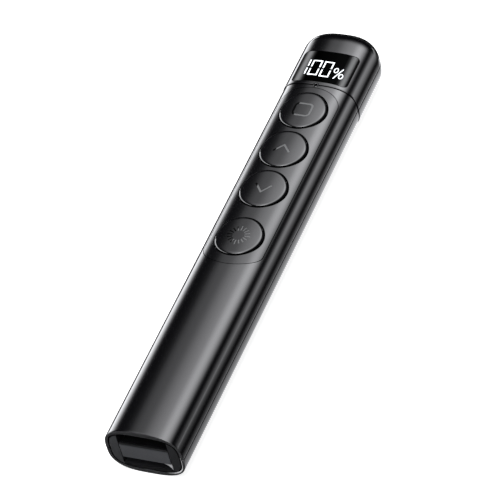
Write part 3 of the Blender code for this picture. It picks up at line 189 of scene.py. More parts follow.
def start_ring(name, turns):
    deselect()
    bpy.ops.mesh.primitive_circle_add(vertices=len(turns), radius=0.01, fill_type="NOTHING")
    piece = bpy.context.object
    piece.name = piece.data.name = name
    edit(piece)
    mesh = bmesh.from_edit_mesh(piece.data)
    layer = mesh.verts.layers.float.new("turn")
    mesh.verts.ensure_lookup_table()
    for vert, turn in zip(mesh.verts, turns):
        vert[layer] = turn
    bmesh.update_edit_mesh(piece.data)
    return piece


def lay_ring(piece, place):
    """Moves the selected ring: `place` gives the point in millimetres for a turn."""
    mesh = bmesh.from_edit_mesh(piece.data)
    layer = mesh.verts.layers.float["turn"]
    for vert in mesh.verts:
        if vert.select:
            vert.co = at(*place(vert[layer]))
    bmesh.update_edit_mesh(piece.data)


def pull_ring(piece, place):
    bpy.ops.mesh.extrude_region_move()
    lay_ring(piece, place)


def through_rings(name, turns, places, closed=False):
    """A piece pulled through rings, closed on its first ring or else filled at both ends."""
    piece = start_ring(name, turns)
    lay_ring(piece, places[0])
    if not closed:
        bpy.ops.mesh.edge_face_add()
        mesh = bmesh.from_edit_mesh(piece.data)
        for face in mesh.faces:
            face.select = True
        bmesh.update_edit_mesh(piece.data)
        bpy.ops.mesh.duplicate()
        bpy.ops.mesh.delete(type="ONLY_FACE")
        bpy.ops.mesh.select_all(action="DESELECT")
        mesh = bmesh.from_edit_mesh(piece.data)
        for edge in mesh.edges:
            if not edge.link_faces:
                edge.select = True
        bmesh.update_edit_mesh(piece.data)
    for place in places[1:]:
        pull_ring(piece, place)
    if closed:
        pull_ring(piece, places[0])
    else:
        bpy.ops.mesh.edge_face_add()
    return done(piece)


print("ring helpers ready")

# %% [markdown]
# Modifiers finish a piece. A Boolean cuts it with a tool, which is used up, and a Bevel rounds its
# sharp edges as a mould does. Each one is applied at once, so that the next step works on the real
# mesh.

# %% Booleans, copies, edges and painted faces


def shift(piece, y=0.0, z=0.0):
    """Moves a piece's mesh, in millimetres, and leaves its origin where it is."""
    edit(piece)
    bpy.ops.transform.translate(value=(0, y * mm, z * mm))
    bpy.ops.object.mode_set(mode="OBJECT")
    return piece


def apply_all(piece):
    pick(piece)
    for modifier in list(piece.modifiers):
        bpy.ops.object.modifier_apply(modifier=modifier.name)


def combine(piece, tool, operation="DIFFERENCE"):
    """A Boolean with another piece, which is used up."""
    step = piece.modifiers.new("combine", "BOOLEAN")
    step.operation = operation
    step.object = tool
    step.solver = "EXACT"
    step.material_mode = "TRANSFER"
    apply_all(piece)
    bpy.data.objects.remove(tool, do_unlink=True)


def copy_of(piece, name):
    twin = piece.copy()
    twin.data = piece.data.copy()
    twin.name = twin.data.name = name
    bpy.context.scene.collection.objects.link(twin)
    return twin


def smooth(piece, degrees=30):
    pick(piece)
    bpy.ops.object.shade_smooth_by_angle(angle=math.radians(degrees))


def round_edges(piece, width, degrees, segments=2, keep_shading=False):
    """Rounds every edge sharper than an angle."""
    step = piece.modifiers.new("rounded edges", "BEVEL")
    step.width = width * mm
    step.segments = segments
    step.limit_method = "ANGLE"
    step.angle_limit = math.radians(degrees)
    step.harden_normals = keep_shading
    apply_all(piece)


def along(face):
    """A face's place along the body, in millimetres."""
    return face.center.y / mm + LENGTH / 2


def paint(piece, material, test):
    """Gives another finish to the faces that pass a test."""
    finishes = piece.data.materials
    if material.name not in finishes:
        finishes.append(material)
    index = finishes.find(material.name)
    for face in piece.data.polygons:
        if test(face):
            face.material_index = index


print("modelling helpers ready")

# %% [markdown]
# ## Finishes
#
# Each finish is a Principled material with noise read from Object coordinates. On the real
# presenter the black plastic is smooth and glossy but not a mirror: fine unevenness from the mould
# softens its reflections.

# %% Helpers for node trees


def plug(tree, value, socket):
    """Links an input to another node's output, or sets it to a plain value."""
    if isinstance(value, bpy.types.NodeSocket):
        tree.links.new(value, socket)
    else:
        socket.default_value = value


def fill(tree, node, **inputs):
    """Plugs in values by the names of a node's inputs, in which an underscore stands for a space."""
    for name, value in inputs.items():
        plug(tree, value, node.inputs[name.replace("_", " ")])
    return node


def add(tree, kind, **inputs):
    return fill(tree, tree.nodes.new(f"ShaderNode{kind}"), **inputs)


def maths(tree, operation, *inputs):
    node = add(tree, "Math")
    node.operation = operation
    for socket, value in zip(node.inputs, inputs):
        plug(tree, value, socket)
    return node.outputs[0]


def map_range(tree, value, low, high, start=0.0, end=1.0):
    """Takes a value from the range low to high into the range start to end."""
    node = add(tree, "MapRange", Value=value, From_Min=low, From_Max=high, To_Min=start, To_Max=end)
    return node.outputs["Result"]


def colour_ramp(tree, value, stops):
    """Colours that run over a value, by stops of a place from 0 to 1 and a colour."""
    node = add(tree, "ValToRGB", Fac=value)
    elements = node.color_ramp.elements
    while len(elements) < len(stops):
        elements.new(0.5)
    for element, (place, _) in zip(elements, stops):
        element.position = place
    for element, (_, colour) in zip(elements, stops):
        element.color = (*colour, 1.0)
    return node.outputs["Color"]


def speckle(tree, grain, stretch=(1, 1, 1), detail=3.0):
    """Noise read from Object coordinates."""
    where = add(tree, "Mapping", Vector=add(tree, "TexCoord").outputs["Object"], Scale=stretch)
    noise = add(tree, "TexNoise", Vector=where.outputs["Vector"], Scale=grain, Detail=detail)
    return noise.outputs["Fac"]


print("node helpers ready")

# %% A helper for finishes


def finish(
    name, colour, second=None, *, grain, rough=(0.3, 0.4),
    metallic=0.0, bump=0.0, stretch=(1, 1, 1), specular=None,
):
    """A finish with grain in its two colours, its roughness and, where asked, its relief."""
    made = bpy.data.materials.new(name)
    made.use_nodes = True
    tree = made.node_tree
    shader = tree.nodes["Principled BSDF"]
    noise = speckle(tree, grain, stretch)
    lighter = second or tuple(c * 1.15 for c in colour)
    tint = colour_ramp(tree, noise, [(0.35, colour), (0.65, lighter)])
    gloss = map_range(tree, noise, 0.3, 0.7, *rough)
    fill(tree, shader, Base_Color=tint, Roughness=gloss, Metallic=metallic)
    if specular is not None:
        fill(tree, shader, Specular_IOR_Level=specular)
    if bump:
        relief = add(tree, "Bump", Strength=1.0, Distance=bump * mm, Height=noise)
        fill(tree, shader, Normal=relief.outputs["Normal"])
    return made


def dress(piece, material, slot, body, *replaced):
    """Gives a piece its finish and its body and, where it is finer, hides the nodes that it stands for."""
    piece.data.materials.clear()
    piece.data.materials.append(material)
    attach(piece, body)
    if replaced:
        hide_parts(*replaced)


print("finish helpers ready")

# %% [markdown]
# The outside needs two glosses and a few dull tones. The greys and the pale tone on the tail are
# painted light and shade. Where a dull face should mirror nothing, its specular level is low, so
# that only its colour shows.

# %% Finishes of the outside
shell_gloss = finish("shell_gloss", (0.0024, 0.0024, 0.003), grain=2600, rough=(0.1, 0.12))
panel_gloss = finish("panel_gloss", (0.003, 0.003, 0.0037), grain=3000, rough=(0.11, 0.13), specular=0.43)
recess_black = finish(
    "recess_black", (0.0025, 0.0025, 0.003),
    grain=3500, rough=(0.5, 0.6), bump=0.004, specular=0.12,
)
# grey painted light for the flat fronts of the tail blocks
block_painted_light_and_shade = finish(
    "block_painted_light_and_shade", (0.043, 0.044, 0.047), (0.049, 0.05, 0.053),
    grain=3500, rough=(0.5, 0.6), specular=0.1,
)
# grey painted light for the receiver's face
receiver_painted_light_and_shade = finish(
    "receiver_painted_light_and_shade", (0.077, 0.079, 0.086), (0.087, 0.089, 0.096),
    grain=3500, rough=(0.4, 0.5), specular=0.1,
)
# the tail rim's dark grey, painted light on the shell's black plastic
rim_painted_light_and_shade = finish(
    "rim_painted_light_and_shade", (0.034, 0.034, 0.036), (0.04, 0.04, 0.042),
    grain=3500, rough=(0.55, 0.65), specular=0.12,
)
# a pale painted highlight for the tail rim's inner edge
lip_painted_highlight = finish("lip_painted_highlight", (0.8, 0.8, 0.82), (0.86, 0.86, 0.88), grain=2500, rough=(0.2, 0.3))
# black for real gaps, and also painted shade on the button rims and on the blocks' rounded edges
gap_and_shade_black = finish("gap_and_shade_black", (0.0015, 0.0015, 0.0018), grain=2500, rough=(0.5, 0.6), specular=0.01)
print("finishes so far:", [m.name for m in bpy.data.materials])

# %% [markdown]
# ## Camera
#
# The camera was found by fitting the presenter's outline, its seam and its buttons to the
# photograph. It looks down along the body from the tail end, from about a metre away and through a
# long lens.

# %% Place the camera
camera_data = bpy.data.cameras.new("camera")
camera = bpy.data.objects.new("camera", camera_data)
bpy.context.scene.collection.objects.link(camera)
camera_data.sensor_width = 36.0
camera_data.lens = 298.13
camera_data.clip_start = 0.05
camera_data.clip_end = 50.0
right = Vector((0.9108074, 0.36269786, -0.19718047))
down = Vector((0.13764645, -0.71710168, -0.68324127))
ahead = Vector((-0.38920859, 0.59516001, -0.7030656))
turned = Matrix((right, -down, -ahead)).transposed().to_4x4()
camera.matrix_world = Matrix.Translation((0.411173, -0.630708, 0.749067)) @ turned
bpy.context.scene.camera = camera
print("camera at", tuple(round(v, 3) for v in camera.location))

# %% [markdown]
# ## Floor and light
#
# Product photographs of glossy black things are pictures of their surroundings. The light here is a
# large soft lamp above, at a level that leaves colours as they are written, and a half round screen
# of bright and dark bands over the presenter that only its gloss sees, as strip lights and black
# cards stand round a real set.
#
# The floor is plain white paper. It gives a little light of its own to the camera, so that it stays
# as pale as the photograph's ground while the presenter's shadow still falls on it.

# %% The floor


def bare_material(name):
    """A material whose node tree is still empty."""
    made = bpy.data.materials.new(name)
    made.use_nodes = True
    made.node_tree.nodes.clear()
    return made


deselect()
bpy.ops.mesh.primitive_plane_add(size=12.0, location=(0, 0, -0.00002))
floor = bpy.context.object
floor.name = "floor"
floor_white = bare_material("floor_white")
tree = floor_white.node_tree
rays = add(tree, "LightPath").outputs
seen = maths(tree, "MAXIMUM", rays["Is Camera Ray"], rays["Is Glossy Ray"])
seen = maths(tree, "MAXIMUM", seen, rays["Is Transmission Ray"])
seen = maths(tree, "MULTIPLY", seen, 0.8)
glow = add(tree, "Emission", Color=(1.0, 1.0, 1.0, 1.0), Strength=seen)
paper = add(tree, "BsdfDiffuse", Color=(0.75, 0.75, 0.75, 1.0))
both = add(tree, "AddShader")
plug(tree, paper.outputs[0], both.inputs[0])
plug(tree, glow.outputs[0], both.inputs[1])
add(tree, "OutputMaterial", Surface=both.outputs[0])
floor.data.materials.append(floor_white)
print("floor laid")

# %% [markdown]
# The sky lights the scene evenly from all sides, but the gloss sees it almost black, because the
# bands give the gloss its light. The lamp is a large square, as soft as the shadow in the
# photograph.

# %% World and lamp
world = bpy.data.worlds.new("studio")
bpy.context.scene.world = world
world.use_nodes = True
tree = world.node_tree
level = map_range(tree, add(tree, "LightPath").outputs["Is Glossy Ray"], 0.0, 1.0, 0.45, 0.03)
fill(tree, tree.nodes["Background"], Color=(0.93, 0.94, 0.95, 1.0), Strength=level)

lamp_data = bpy.data.lights.new("overhead_lamp", "AREA")
lamp_data.shape = "RECTANGLE"
lamp_data.size = 1.6
lamp_data.size_y = 1.6
lamp_data.energy = 22.0
lamp = bpy.data.objects.new("overhead_lamp", lamp_data)
bpy.context.scene.collection.objects.link(lamp)
lamp.location = (-0.25, 0.1, 1.5)
lamp.rotation_euler = (Vector((0, 0, 0)) - lamp.location).to_track_quat("-Z", "Y").to_euler()
lamp.visible_glossy = False
lamp.visible_camera = False
print("lamp energy", lamp_data.energy)

# %% [markdown]
# A screen that only gloss sees is hidden from the camera and from plain light, and casts no shadow.
# Its brightness is a run of levels over a place or an angle, which is also how painted light and
# shade are laid along a piece.

# %% Helpers for a lit surface that only gloss sees


def only_in_gloss(thing):
    thing.visible_camera = False
    thing.visible_diffuse = False
    thing.visible_shadow = False
    thing.visible_volume_scatter = False


def object_xyz(tree):
    return add(tree, "SeparateXYZ", Vector=add(tree, "TexCoord").outputs["Object"]).outputs


def level_ramp(tree, value, stops, peak):
    """A smooth run of brightness levels over a value, as a share of the peak."""
    low, high = stops[0][0], stops[-1][0]
    shares = [((place - low) / (high - low), (level / peak,) * 3) for place, level in stops]
    return colour_ramp(tree, map_range(tree, value, low, high), shares)


def shade_along(material, axis, stops):
    """Paints light and shade: a finish's colour times a level along an axis, given in millimetres."""
    tree = material.node_tree
    colour = tree.nodes["Principled BSDF"].inputs["Base Color"]
    place = maths(tree, "MULTIPLY", object_xyz(tree)[axis], 1000.0)
    product = add(tree, "VectorMath")
    product.operation = "MULTIPLY"
    plug(tree, colour.links[0].from_socket, product.inputs[0])
    plug(tree, level_ramp(tree, place, stops, 1.0), product.inputs[1])
    plug(tree, product.outputs[0], colour)


def lit(name, build):
    """An emission material: `build` gives the brightness from Object coordinates."""
    made = bare_material(name)
    tree = made.node_tree
    strength = build(tree, *object_xyz(tree))
    glow = add(tree, "Emission", Color=(0.985, 0.99, 1.02, 1.0), Strength=strength)
    add(tree, "OutputMaterial", Surface=glow.outputs[0])
    return made


print("light helpers ready")

# %% [markdown]
# The screen stands over the presenter like a half round tent. Round it, from the left over the top
# to the right, run a bright strip at the left edge, a dark gap, a wide soft box over the top, a
# second dark gap and a weak strip at the right. Its far end fades out, and this fade is what draws
# the black band round the front of the head. A narrow black card behind the tail darkens what the
# curved tail edge would mirror.

# %% The tent's levels
BANDS = [
    (-92, 5.2), (-90, 5.2), (-84, 5.3), (-78, 3.9), (-72, 1.8), (-66, 0.4), (-60, 0.06),
    (-54, 0.02), (-47, 0.03), (-41, 0.06), (-35, 0.2), (-29, 1.0), (-23, 2.4), (-17, 3.2),
    (-11, 3.8), (-5, 4.4), (1, 5.9), (7, 7.3), (13, 7.9), (19, 7.4), (25, 6.1), (31, 4.4),
    (37, 2.7), (43, 1.0), (49, 0.2), (55, 0.03), (61, 0.07), (67, 0.26), (73, 0.76), (79, 1.4),
    (85, 1.95), (92, 2.0),
]
PEAK = 8.0
ALONG = [
    (-0.9, 0.0), (-0.8, 0.0), (-0.62, 1.9), (-0.36, 1.9), (-0.24, 1.0), (0.02, 0.94), (0.28, 0.96),
    (0.32, 1.0), (0.37, 1.12), (0.4, 1.25), (0.425, 1.4), (0.45, 1.25), (0.52, 0.62), (0.62, 0.16),
    (0.78, 0.02), (0.9, 0.0),
]
ALONG_RIGHT = [
    (-0.9, 0.0), (-0.42, 0.0), (-0.25, 0.3), (0.2, 0.35), (0.26, 0.55), (0.29, 0.72),
    (0.315, 0.96), (0.367, 1.6), (0.39, 1.8), (0.43, 2.0), (0.5, 1.5), (0.62, 0.4), (0.8, 0.0),
]
ALONG_LEFT = [
    (-0.9, 0.0), (-0.8, 0.0), (-0.62, 1.7), (-0.15, 1.7), (0.0, 0.9), (0.28, 0.96), (0.34, 0.96),
    (0.37, 0.99), (0.4, 0.97), (0.43, 1.0), (0.455, 1.0), (0.49, 0.72), (0.52, 0.25), (0.55, 0.0),
    (0.9, 0.0),
]
LEFT_BLEND, RIGHT_BLEND = (-62.0, -54.0), (50.0, 62.0)  # where one run goes over into the next
print(len(BANDS), "bands round the tent")

# %% The brightness of the tent


def times(tree, first, second):
    return maths(tree, "MULTIPLY", first, second)


def run(tree, value, stops, peak=PEAK):
    return times(tree, level_ramp(tree, value, stops, peak), peak)


def mix(tree, share, before, after):
    return add(tree, "Mix", Factor=share, A=before, B=after).outputs["Result"]


def rear_card(tree, angle, y):
    """A narrow black card behind the tail, which leans to the left: 0.05 on it and 1 beside it."""
    middle = maths(tree, "ADD", times(tree, y, 28.0), -19.0)
    off = maths(tree, "ABSOLUTE", maths(tree, "SUBTRACT", angle, middle))
    beside = map_range(tree, off, 7.0, 11.0, 0.05, 1.0)
    return maths(tree, "MAXIMUM", beside, maths(tree, "GREATER_THAN", y, -0.25))


def tent_level(tree, x, y, z):
    """The bands round the tent, which run along it in one way left, right and between."""
    angle = times(tree, maths(tree, "ARCTAN2", x, z), 180 / math.pi)
    left, middle, right = (run(tree, y, stops, 2.0) for stops in (ALONG_LEFT, ALONG, ALONG_RIGHT))
    level = mix(tree, map_range(tree, angle, *LEFT_BLEND), left, middle)
    level = mix(tree, map_range(tree, angle, *RIGHT_BLEND), level, right)
    return times(tree, times(tree, run(tree, angle, BANDS), level), rear_card(tree, angle, y))


print("tent levels ready")

# %% The tent itself
TENT_RADIUS = 0.5
TENT_START, TENT_LENGTH = -0.9, 2.6
deselect()
bpy.ops.mesh.primitive_circle_add(vertices=180, radius=TENT_RADIUS, fill_type="NOTHING")
tent = bpy.context.object
tent.name = tent.data.name = "band_tent"
tent.rotation_euler = (math.pi / 2, 0, 0)
tent.location = (0, TENT_START, 0)
pick(tent)
bpy.ops.object.transform_apply(location=True, rotation=True, scale=True)
edit(tent)
bpy.ops.mesh.extrude_region_move(TRANSFORM_OT_translate={"value": (0, TENT_LENGTH, 0)})
bpy.ops.object.mode_set(mode="OBJECT")
tent.data.materials.append(lit("tent_bands", tent_level))
only_in_gloss(tent)
print("tent with", len(tent.data.polygons), "faces")

# %% [markdown]
# What the lower sides mirror lies on the floor: a black card to the left, which gives the thin dark
# outline, then the foot of the bright strip, and to the right a narrow black card between white
# paper and the weak strip. The angle that sets the brightness is counted from straight below the
# presenter's edge.

# %% Cards on the floor
LEFT_CARD = [
    (0, 0.03), (72, 0.04), (75, 0.9), (78, 5.0), (82, 6.2), (90, 5.3),
]
RIGHT_CARD = [
    (0, 0.88), (5, 0.94), (11, 1.02), (20, 0.95), (25, 0.84), (28, 0.5), (32, 0.42), (36, 0.32),
    (41, 0.16), (47, 0.06), (52, 0.02),
]
STRIP_CARD = [
    (52, 0.0), (59, 0.03), (65, 0.2), (71, 0.55), (77, 0.95), (83, 1.45), (90, 1.8),
]
RIGHT_ALONG = [
    (-0.2, 0.85), (-0.06, 0.94), (-0.035, 1.08), (0.0175, 1.36), (0.0325, 1.55), (0.065, 1.8),
    (0.4, 1.9),
]
STRIP_ALONG = [
    (-0.2, 0.4), (-0.06, 0.5), (-0.038, 0.62), (-0.013, 0.95), (0.04, 1.4), (0.055, 1.55),
    (0.085, 1.75), (0.4, 1.9),
]
TAIL_Y, FRONT_Y = -0.0722, 0.0725


def front_card(tree, x, gone):
    """A black wedge before the front end: 0.03 inside it and 1 outside."""
    left = maths(tree, "GREATER_THAN", maths(tree, "ADD", x, times(tree, gone, 0.75)), -0.012)
    right = maths(tree, "LESS_THAN", maths(tree, "SUBTRACT", x, times(tree, gone, 0.3)), 0.012)
    inside = times(tree, times(tree, left, right), maths(tree, "GREATER_THAN", gone, 0.0065))
    return maths(tree, "SUBTRACT", 1.0, times(tree, inside, 0.97))


def card_level(tree, x, y, z):
    """Left and right cards by the angle from straight below the edge, dimmer behind the tail."""
    out = maths(tree, "SUBTRACT", maths(tree, "ABSOLUTE", x), HALF_WIDTH * mm)
    angle = times(tree, maths(tree, "ARCTAN2", out, REST_DROP * mm), 180 / math.pi)
    beyond = maths(tree, "ADD", times(tree, maths(tree, "GREATER_THAN", y, 0.0045), 2.0), 2.0)
    left = run(tree, maths(tree, "SUBTRACT", angle, beyond), LEFT_CARD)
    paper = times(tree, run(tree, angle, RIGHT_CARD), run(tree, y, RIGHT_ALONG))
    strip = times(tree, run(tree, angle, STRIP_CARD), run(tree, y, STRIP_ALONG))
    sides = mix(tree, maths(tree, "GREATER_THAN", x, -0.006), left, maths(tree, "ADD", paper, strip))
    tail = maths(tree, "ADD", times(tree, maths(tree, "GREATER_THAN", y, TAIL_Y), 0.7), 0.3)
    front = front_card(tree, x, maths(tree, "SUBTRACT", y, FRONT_Y))
    return times(tree, times(tree, sides, tail), front)


print("card levels ready")

# %% [markdown]
# Both cards are one plane just over the floor. The camera can't see it, so the floor stays plain.

# %% Lay the cards
deselect()
bpy.ops.mesh.primitive_plane_add(size=1.0, location=(0, 0, 0.0001))
cards = bpy.context.object
cards.name = cards.data.name = "floor_cards"
pick(cards)
bpy.ops.object.transform_apply(location=True, rotation=True, scale=True)
edit(cards)
bpy.ops.transform.resize(value=(1.0, 2.0, 1.0))
bpy.ops.object.mode_set(mode="OBJECT")
cards.data.materials.append(lit("floor_card_levels", card_level))
only_in_gloss(cards)
print("cards laid")

# %% [markdown]
# ## Body shell
#
# The real body is two half shells that meet in a thin line along both sides. Each is modelled as
# half of one tube: an outer surface with a rounded tail edge, and an inner one. The tube is cut
# along the middle plane.

# %% The tube
INNER_ROUND = 0.22  # radius of the rim's inner edge


def ring_point(turn, y, inset):
    x, z = section(turn, HALF_WIDTH - inset, HALF_HEIGHT - inset, inset - HALF_HEIGHT, BODY_POWER)
    return x, y, z


def body_ring(y, inset=0.0):
    return lambda turn: ring_point(turn, y, inset)


def cavity_ring(y, grow=0.0):
    def place(turn):
        x, z = section(turn, CAVITY[0] + grow, CAVITY[1] + grow, CAVITY[2] - grow, CAVITY_POWER)
        return x, y, z

    return place


def quarter_round(slope, radius):
    """How far a point of a rounded edge lies from the end and inside the wall, at a slope."""
    slope = math.radians(slope)
    return radius * (1 - math.sin(slope)), radius * (1 - math.cos(slope))


def tail_ring(slope):
    """A step of the tail's outer edge, which is rounded more on top than elsewhere."""

    def place(turn):
        edge = 0.14 + 0.3 * max(0.0, math.sin(turn)) ** 2
        return ring_point(turn, *quarter_round(slope, edge))

    return place


def inner_edge(slope):
    """A step of the rounded edge between the tail's rim and its inside."""
    grow, back = quarter_round(slope, INNER_ROUND)
    return cavity_ring(back, grow)


print("body rings ready")

# %% Pull the tube
BODY_END = SEAM_Y - HALF_SEAM
body_places = [tail_ring(slope) for slope in (90, 72, 54, 36, 18, 0)]
body_places += [body_ring(y) for y in (0.6, 1.2, 3, 30, 60, 90)]
body_places += [body_ring(BODY_END - before) for before in (0.6, 0.2, 0.06)]
body_places += [body_ring(BODY_END, 0.06)]
body_places += [cavity_ring(BODY_END)] + [inner_edge(slope) for slope in (90, 60, 30, 0)]
tube = through_rings("housing_tube", TURNS, body_places, closed=True)
print("tube with", len(tube.data.polygons), "faces")

# %% [markdown]
# A solid copy of the outer form serves as a tool: the panel and its recess are parts of it.

# %% The solid form
solid_form = through_rings("solid_form", TURNS, [body_ring(-4), body_ring(150)])


def lowered(name, drop):
    return shift(copy_of(solid_form, name), z=-drop)


print("solid form with", len(solid_form.data.polygons), "faces")

# %% [markdown]
# On the real body the panel lies in a shallow recess with an even floor. The panel's outline, two
# straight sides between elliptical ends, is pulled up into a prism, and the solid form, lowered a
# little, is cut out of it. What is left is a tool whose underside follows the body's curve.

# %% The panel's outline and its recess
PANEL = (8.1, 57.95, 121.45, 5.0)  # half width, rear, front and reach of the elliptical ends


def panel_place(height, grow):
    """Two straight sides between elliptical ends."""
    half_width, rear, front, end = PANEL

    def place(turn):
        y = (end + grow) * math.sin(turn)
        y += front - end if turn < math.pi else rear + end
        return (half_width + grow) * math.cos(turn), y, height

    return place


def panel_turns(count=96):
    half = [math.pi * i / count for i in range(count + 1)]
    return [t * 0.999999 for t in half] + [math.pi * 1.0000001 + t * 0.999999 for t in half]


def panel_prism(name, low, grow=0.0):
    return through_rings(name, panel_turns(), [panel_place(z, grow) for z in (low, ABOVE)])


recess = panel_prism("recess_tool", 2.0, 0.16)
combine(recess, lowered("recess_core", 0.8))
print("recess tool with", len(recess.data.polygons), "faces")

# %% [markdown]
# The parting line is a real gap. Each half ends a little before the middle plane, with a tiny
# rounding that catches light, and its cut faces are dull black, so that the gap reads as a thin
# dark line.

# %% One half of a tube
HALF_GAP = 0.13
WALL_X = 9.8  # faces further out than this lie on the side walls


def half_of(piece, name, side):
    """One half of a piece, above (1) or below (-1) the middle plane."""
    half = copy_of(piece, name)
    edit(half)
    height = (REST_DROP + side * HALF_GAP) * mm
    bpy.ops.mesh.bisect(plane_co=(0, 0, height), plane_no=(0, 0, side), use_fill=True, clear_inner=True)
    bpy.ops.mesh.select_all(action="SELECT")
    bpy.ops.mesh.bisect(plane_co=(0, 0, height + side * 0.1 * mm), plane_no=(0, 0, side))
    mesh = bmesh.from_edit_mesh(half.data)
    for edge in mesh.edges:
        level = all(abs(v.co.z - height) < 1e-6 for v in edge.verts)
        lengthwise = abs(edge.verts[0].co.y - edge.verts[1].co.y) > 1e-6
        edge.select = level and lengthwise and abs(edge.verts[0].co.x) > WALL_X * mm
    bmesh.update_edit_mesh(half.data)
    bpy.ops.mesh.bevel(offset=0.04 * mm, segments=2, affect="EDGES")
    done(half)
    half.data.materials.clear()
    half.data.materials.append(shell_gloss)

    def is_cut(face):
        in_wall = abs(face.center.x) > WALL_X * mm or face.normal.z * side < -0.95
        return in_wall and abs(face.center.z - height) < 0.05 * mm

    paint(half, gap_and_shade_black, is_cut)
    return half


print("half tool ready")

# %% Cut the tube, the recess and the button holes


def upright_ring(radius, y, z):
    return lambda turn: (radius * math.cos(turn), y + radius * math.sin(turn), z)


def disc_tool(name, radius, y, low, count=96):
    """An upright round cutter."""
    return through_rings(name, round_turns(count), [upright_ring(radius, y, z) for z in (low, ABOVE)])


upper_shell = half_of(tube, "housing_upper_shell", 1)
lower_shell = half_of(tube, "housing_lower_shell", -1)
combine(upper_shell, recess)
for name, y in BUTTON_YS.items():
    combine(upper_shell, disc_tool(f"hole_{name}", HOLE_RADIUS, y, 3.0))
combine(upper_shell, disc_tool("guide_hole", GUIDE_RADIUS, SEAM_Y, 1.0, 48))
bpy.data.objects.remove(tube, do_unlink=True)
print("upper shell", len(upper_shell.data.polygons), "faces, lower shell", len(lower_shell.data.polygons))

# %% [markdown]
# The charging port has a mouth in the left wall, a slot with round ends. Its tool is pulled through
# two rings.

# %% The port's mouth in the left wall
PORT = (66.0, -2.2)  # its middle, along and up


def rounded_box(turn, half_width, half_height, radius, grow):
    """The point of a box with rounded corners at one turn, with its edge moved out by `grow`."""
    across, up = math.cos(turn), math.sin(turn)
    x = (half_width - radius) * (1 if across > 0 else -1) + (radius + grow) * across
    return x, (half_height - radius) * (1 if up > 0 else -1) + (radius + grow) * up


PORT_TURNS = [math.pi * (i / 24 - 0.5) * 0.99999 for i in range(25)]
PORT_TURNS += [math.pi * (i / 24 + 0.5) + 1e-5 * (i == 0) for i in range(25)]


def port_ring(x, half_length, half_height, radius=None, grow=0.0):
    """A ring across the port, with round ends unless a radius is given."""

    def place(turn):
        y, z = rounded_box(turn, half_length, half_height, radius or half_height, grow)
        return x, PORT[0] + y, PORT[1] + z

    return place


mouth = through_rings("port_mouth", PORT_TURNS, [port_ring(x, 4.65, 1.8) for x in (-12, -7.6)])
combine(lower_shell, mouth)
print("port mouth cut")

# %% [markdown]
# Outside, a shell keeps its gloss. Its end face at the seam is dull black. The flat rim of the tail
# is a dark grey of painted light, darker at its top and bottom as painted shade, and its rounded
# inner edge has a pale painted highlight at the lower right.

# %% Dress the shells


def on_rim(face):
    return along(face) < 0.5 and face.normal.y < (-0.6 if face.normal.z > 0 else -0.3)


# the faces of the rim's inner edge that get the painted highlight
def on_painted_highlight_lip(face):
    centre = face.center / mm
    inwards = face.normal.x * centre.x < 0 or face.normal.z > 0.2
    low_right = centre.x > 4.6 and 0.6 < centre.z < REST_DROP + 0.6
    return 0.005 < along(face) < 0.2 and inwards and low_right and face.normal.y < -0.2


def dress_shell(shell, node, end_y):
    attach(shell, "presenter")
    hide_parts(node)

    def on_end(face):
        return abs(along(face) - end_y) < 0.02 and abs(face.normal.y) > 0.9

    paint(shell, gap_and_shade_black, on_end)
    paint(shell, rim_painted_light_and_shade, on_rim)
    paint(shell, lip_painted_highlight, on_painted_highlight_lip)
    smooth(shell)
    print(shell.name, "dressed")


# the painted highlight fades out towards the middle
shade_along(lip_painted_highlight, "X", [(4.6, 0.05), (6.5, 0.4), (8.0, 1.0), (10.0, 1.0)])
# painted shade: the rim darkens towards its bottom and its top
shade_along(rim_painted_light_and_shade, "Z", [(0.0, 0.7), (1.6, 1.0), (12.8, 1.0), (13.5, 0.75), (14.8, 0.6)])
dress_shell(upper_shell, "upper_housing", BODY_END)
dress_shell(lower_shell, "lower_housing", BODY_END)

# %% [markdown]
# ## Head
#
# The head is a hair larger than the body, so that its rear edge shows as a fine step. Its plan
# closes in a wide round, its side in a tighter one. Rings crowd towards the front, where the
# surface turns fastest.

# %% The head's rings
PLAN_ROUND = (6.6, 2.19)  # reach and exponent of the round, seen from above
SIDE_ROUND = (5.9, 2.5)  # and seen from the side
HEAD_START = SEAM_Y + HALF_SEAM
HEAD_HALF = (HALF_WIDTH + HEAD_STEP, HALF_HEIGHT + HEAD_STEP)
HEAD_WALLS = (1.5, 1.9, 2.0)  # at the side, above and below, and at the front
NOSE = 7.35


def rounding(y, end, reach, exponent):
    share = min(max((y - end + reach) / reach, 0.0), 1.0)
    return (1 - share**exponent) ** (1 / exponent)


def nose_ring(y, end, half_width, half_height, inset, exponent):
    wide = half_width * rounding(y, end, *PLAN_ROUND) - inset
    tall = half_height * rounding(y, end, *SIDE_ROUND) - inset

    def place(turn):
        x, z = section(turn, wide, tall, -tall, exponent)
        return x, y, z

    return place


def head_ring(y, inset=0.0):
    return nose_ring(y, LENGTH, *HEAD_HALF, inset, BODY_POWER)


def head_cavity_ring(y):
    side, above, front = HEAD_WALLS
    half_width, half_height = HEAD_HALF
    return nose_ring(y, LENGTH - front, half_width - side, half_height - above, 0.0, CAVITY_POWER)


def nose_steps(end, count, last_gap):
    """Places along the nose, closer together towards its end."""
    steps = [end - NOSE + NOSE * math.sin(math.pi / 2 * i / count) for i in range(count)]
    return steps + [end - last_gap]


print("head rings ready")

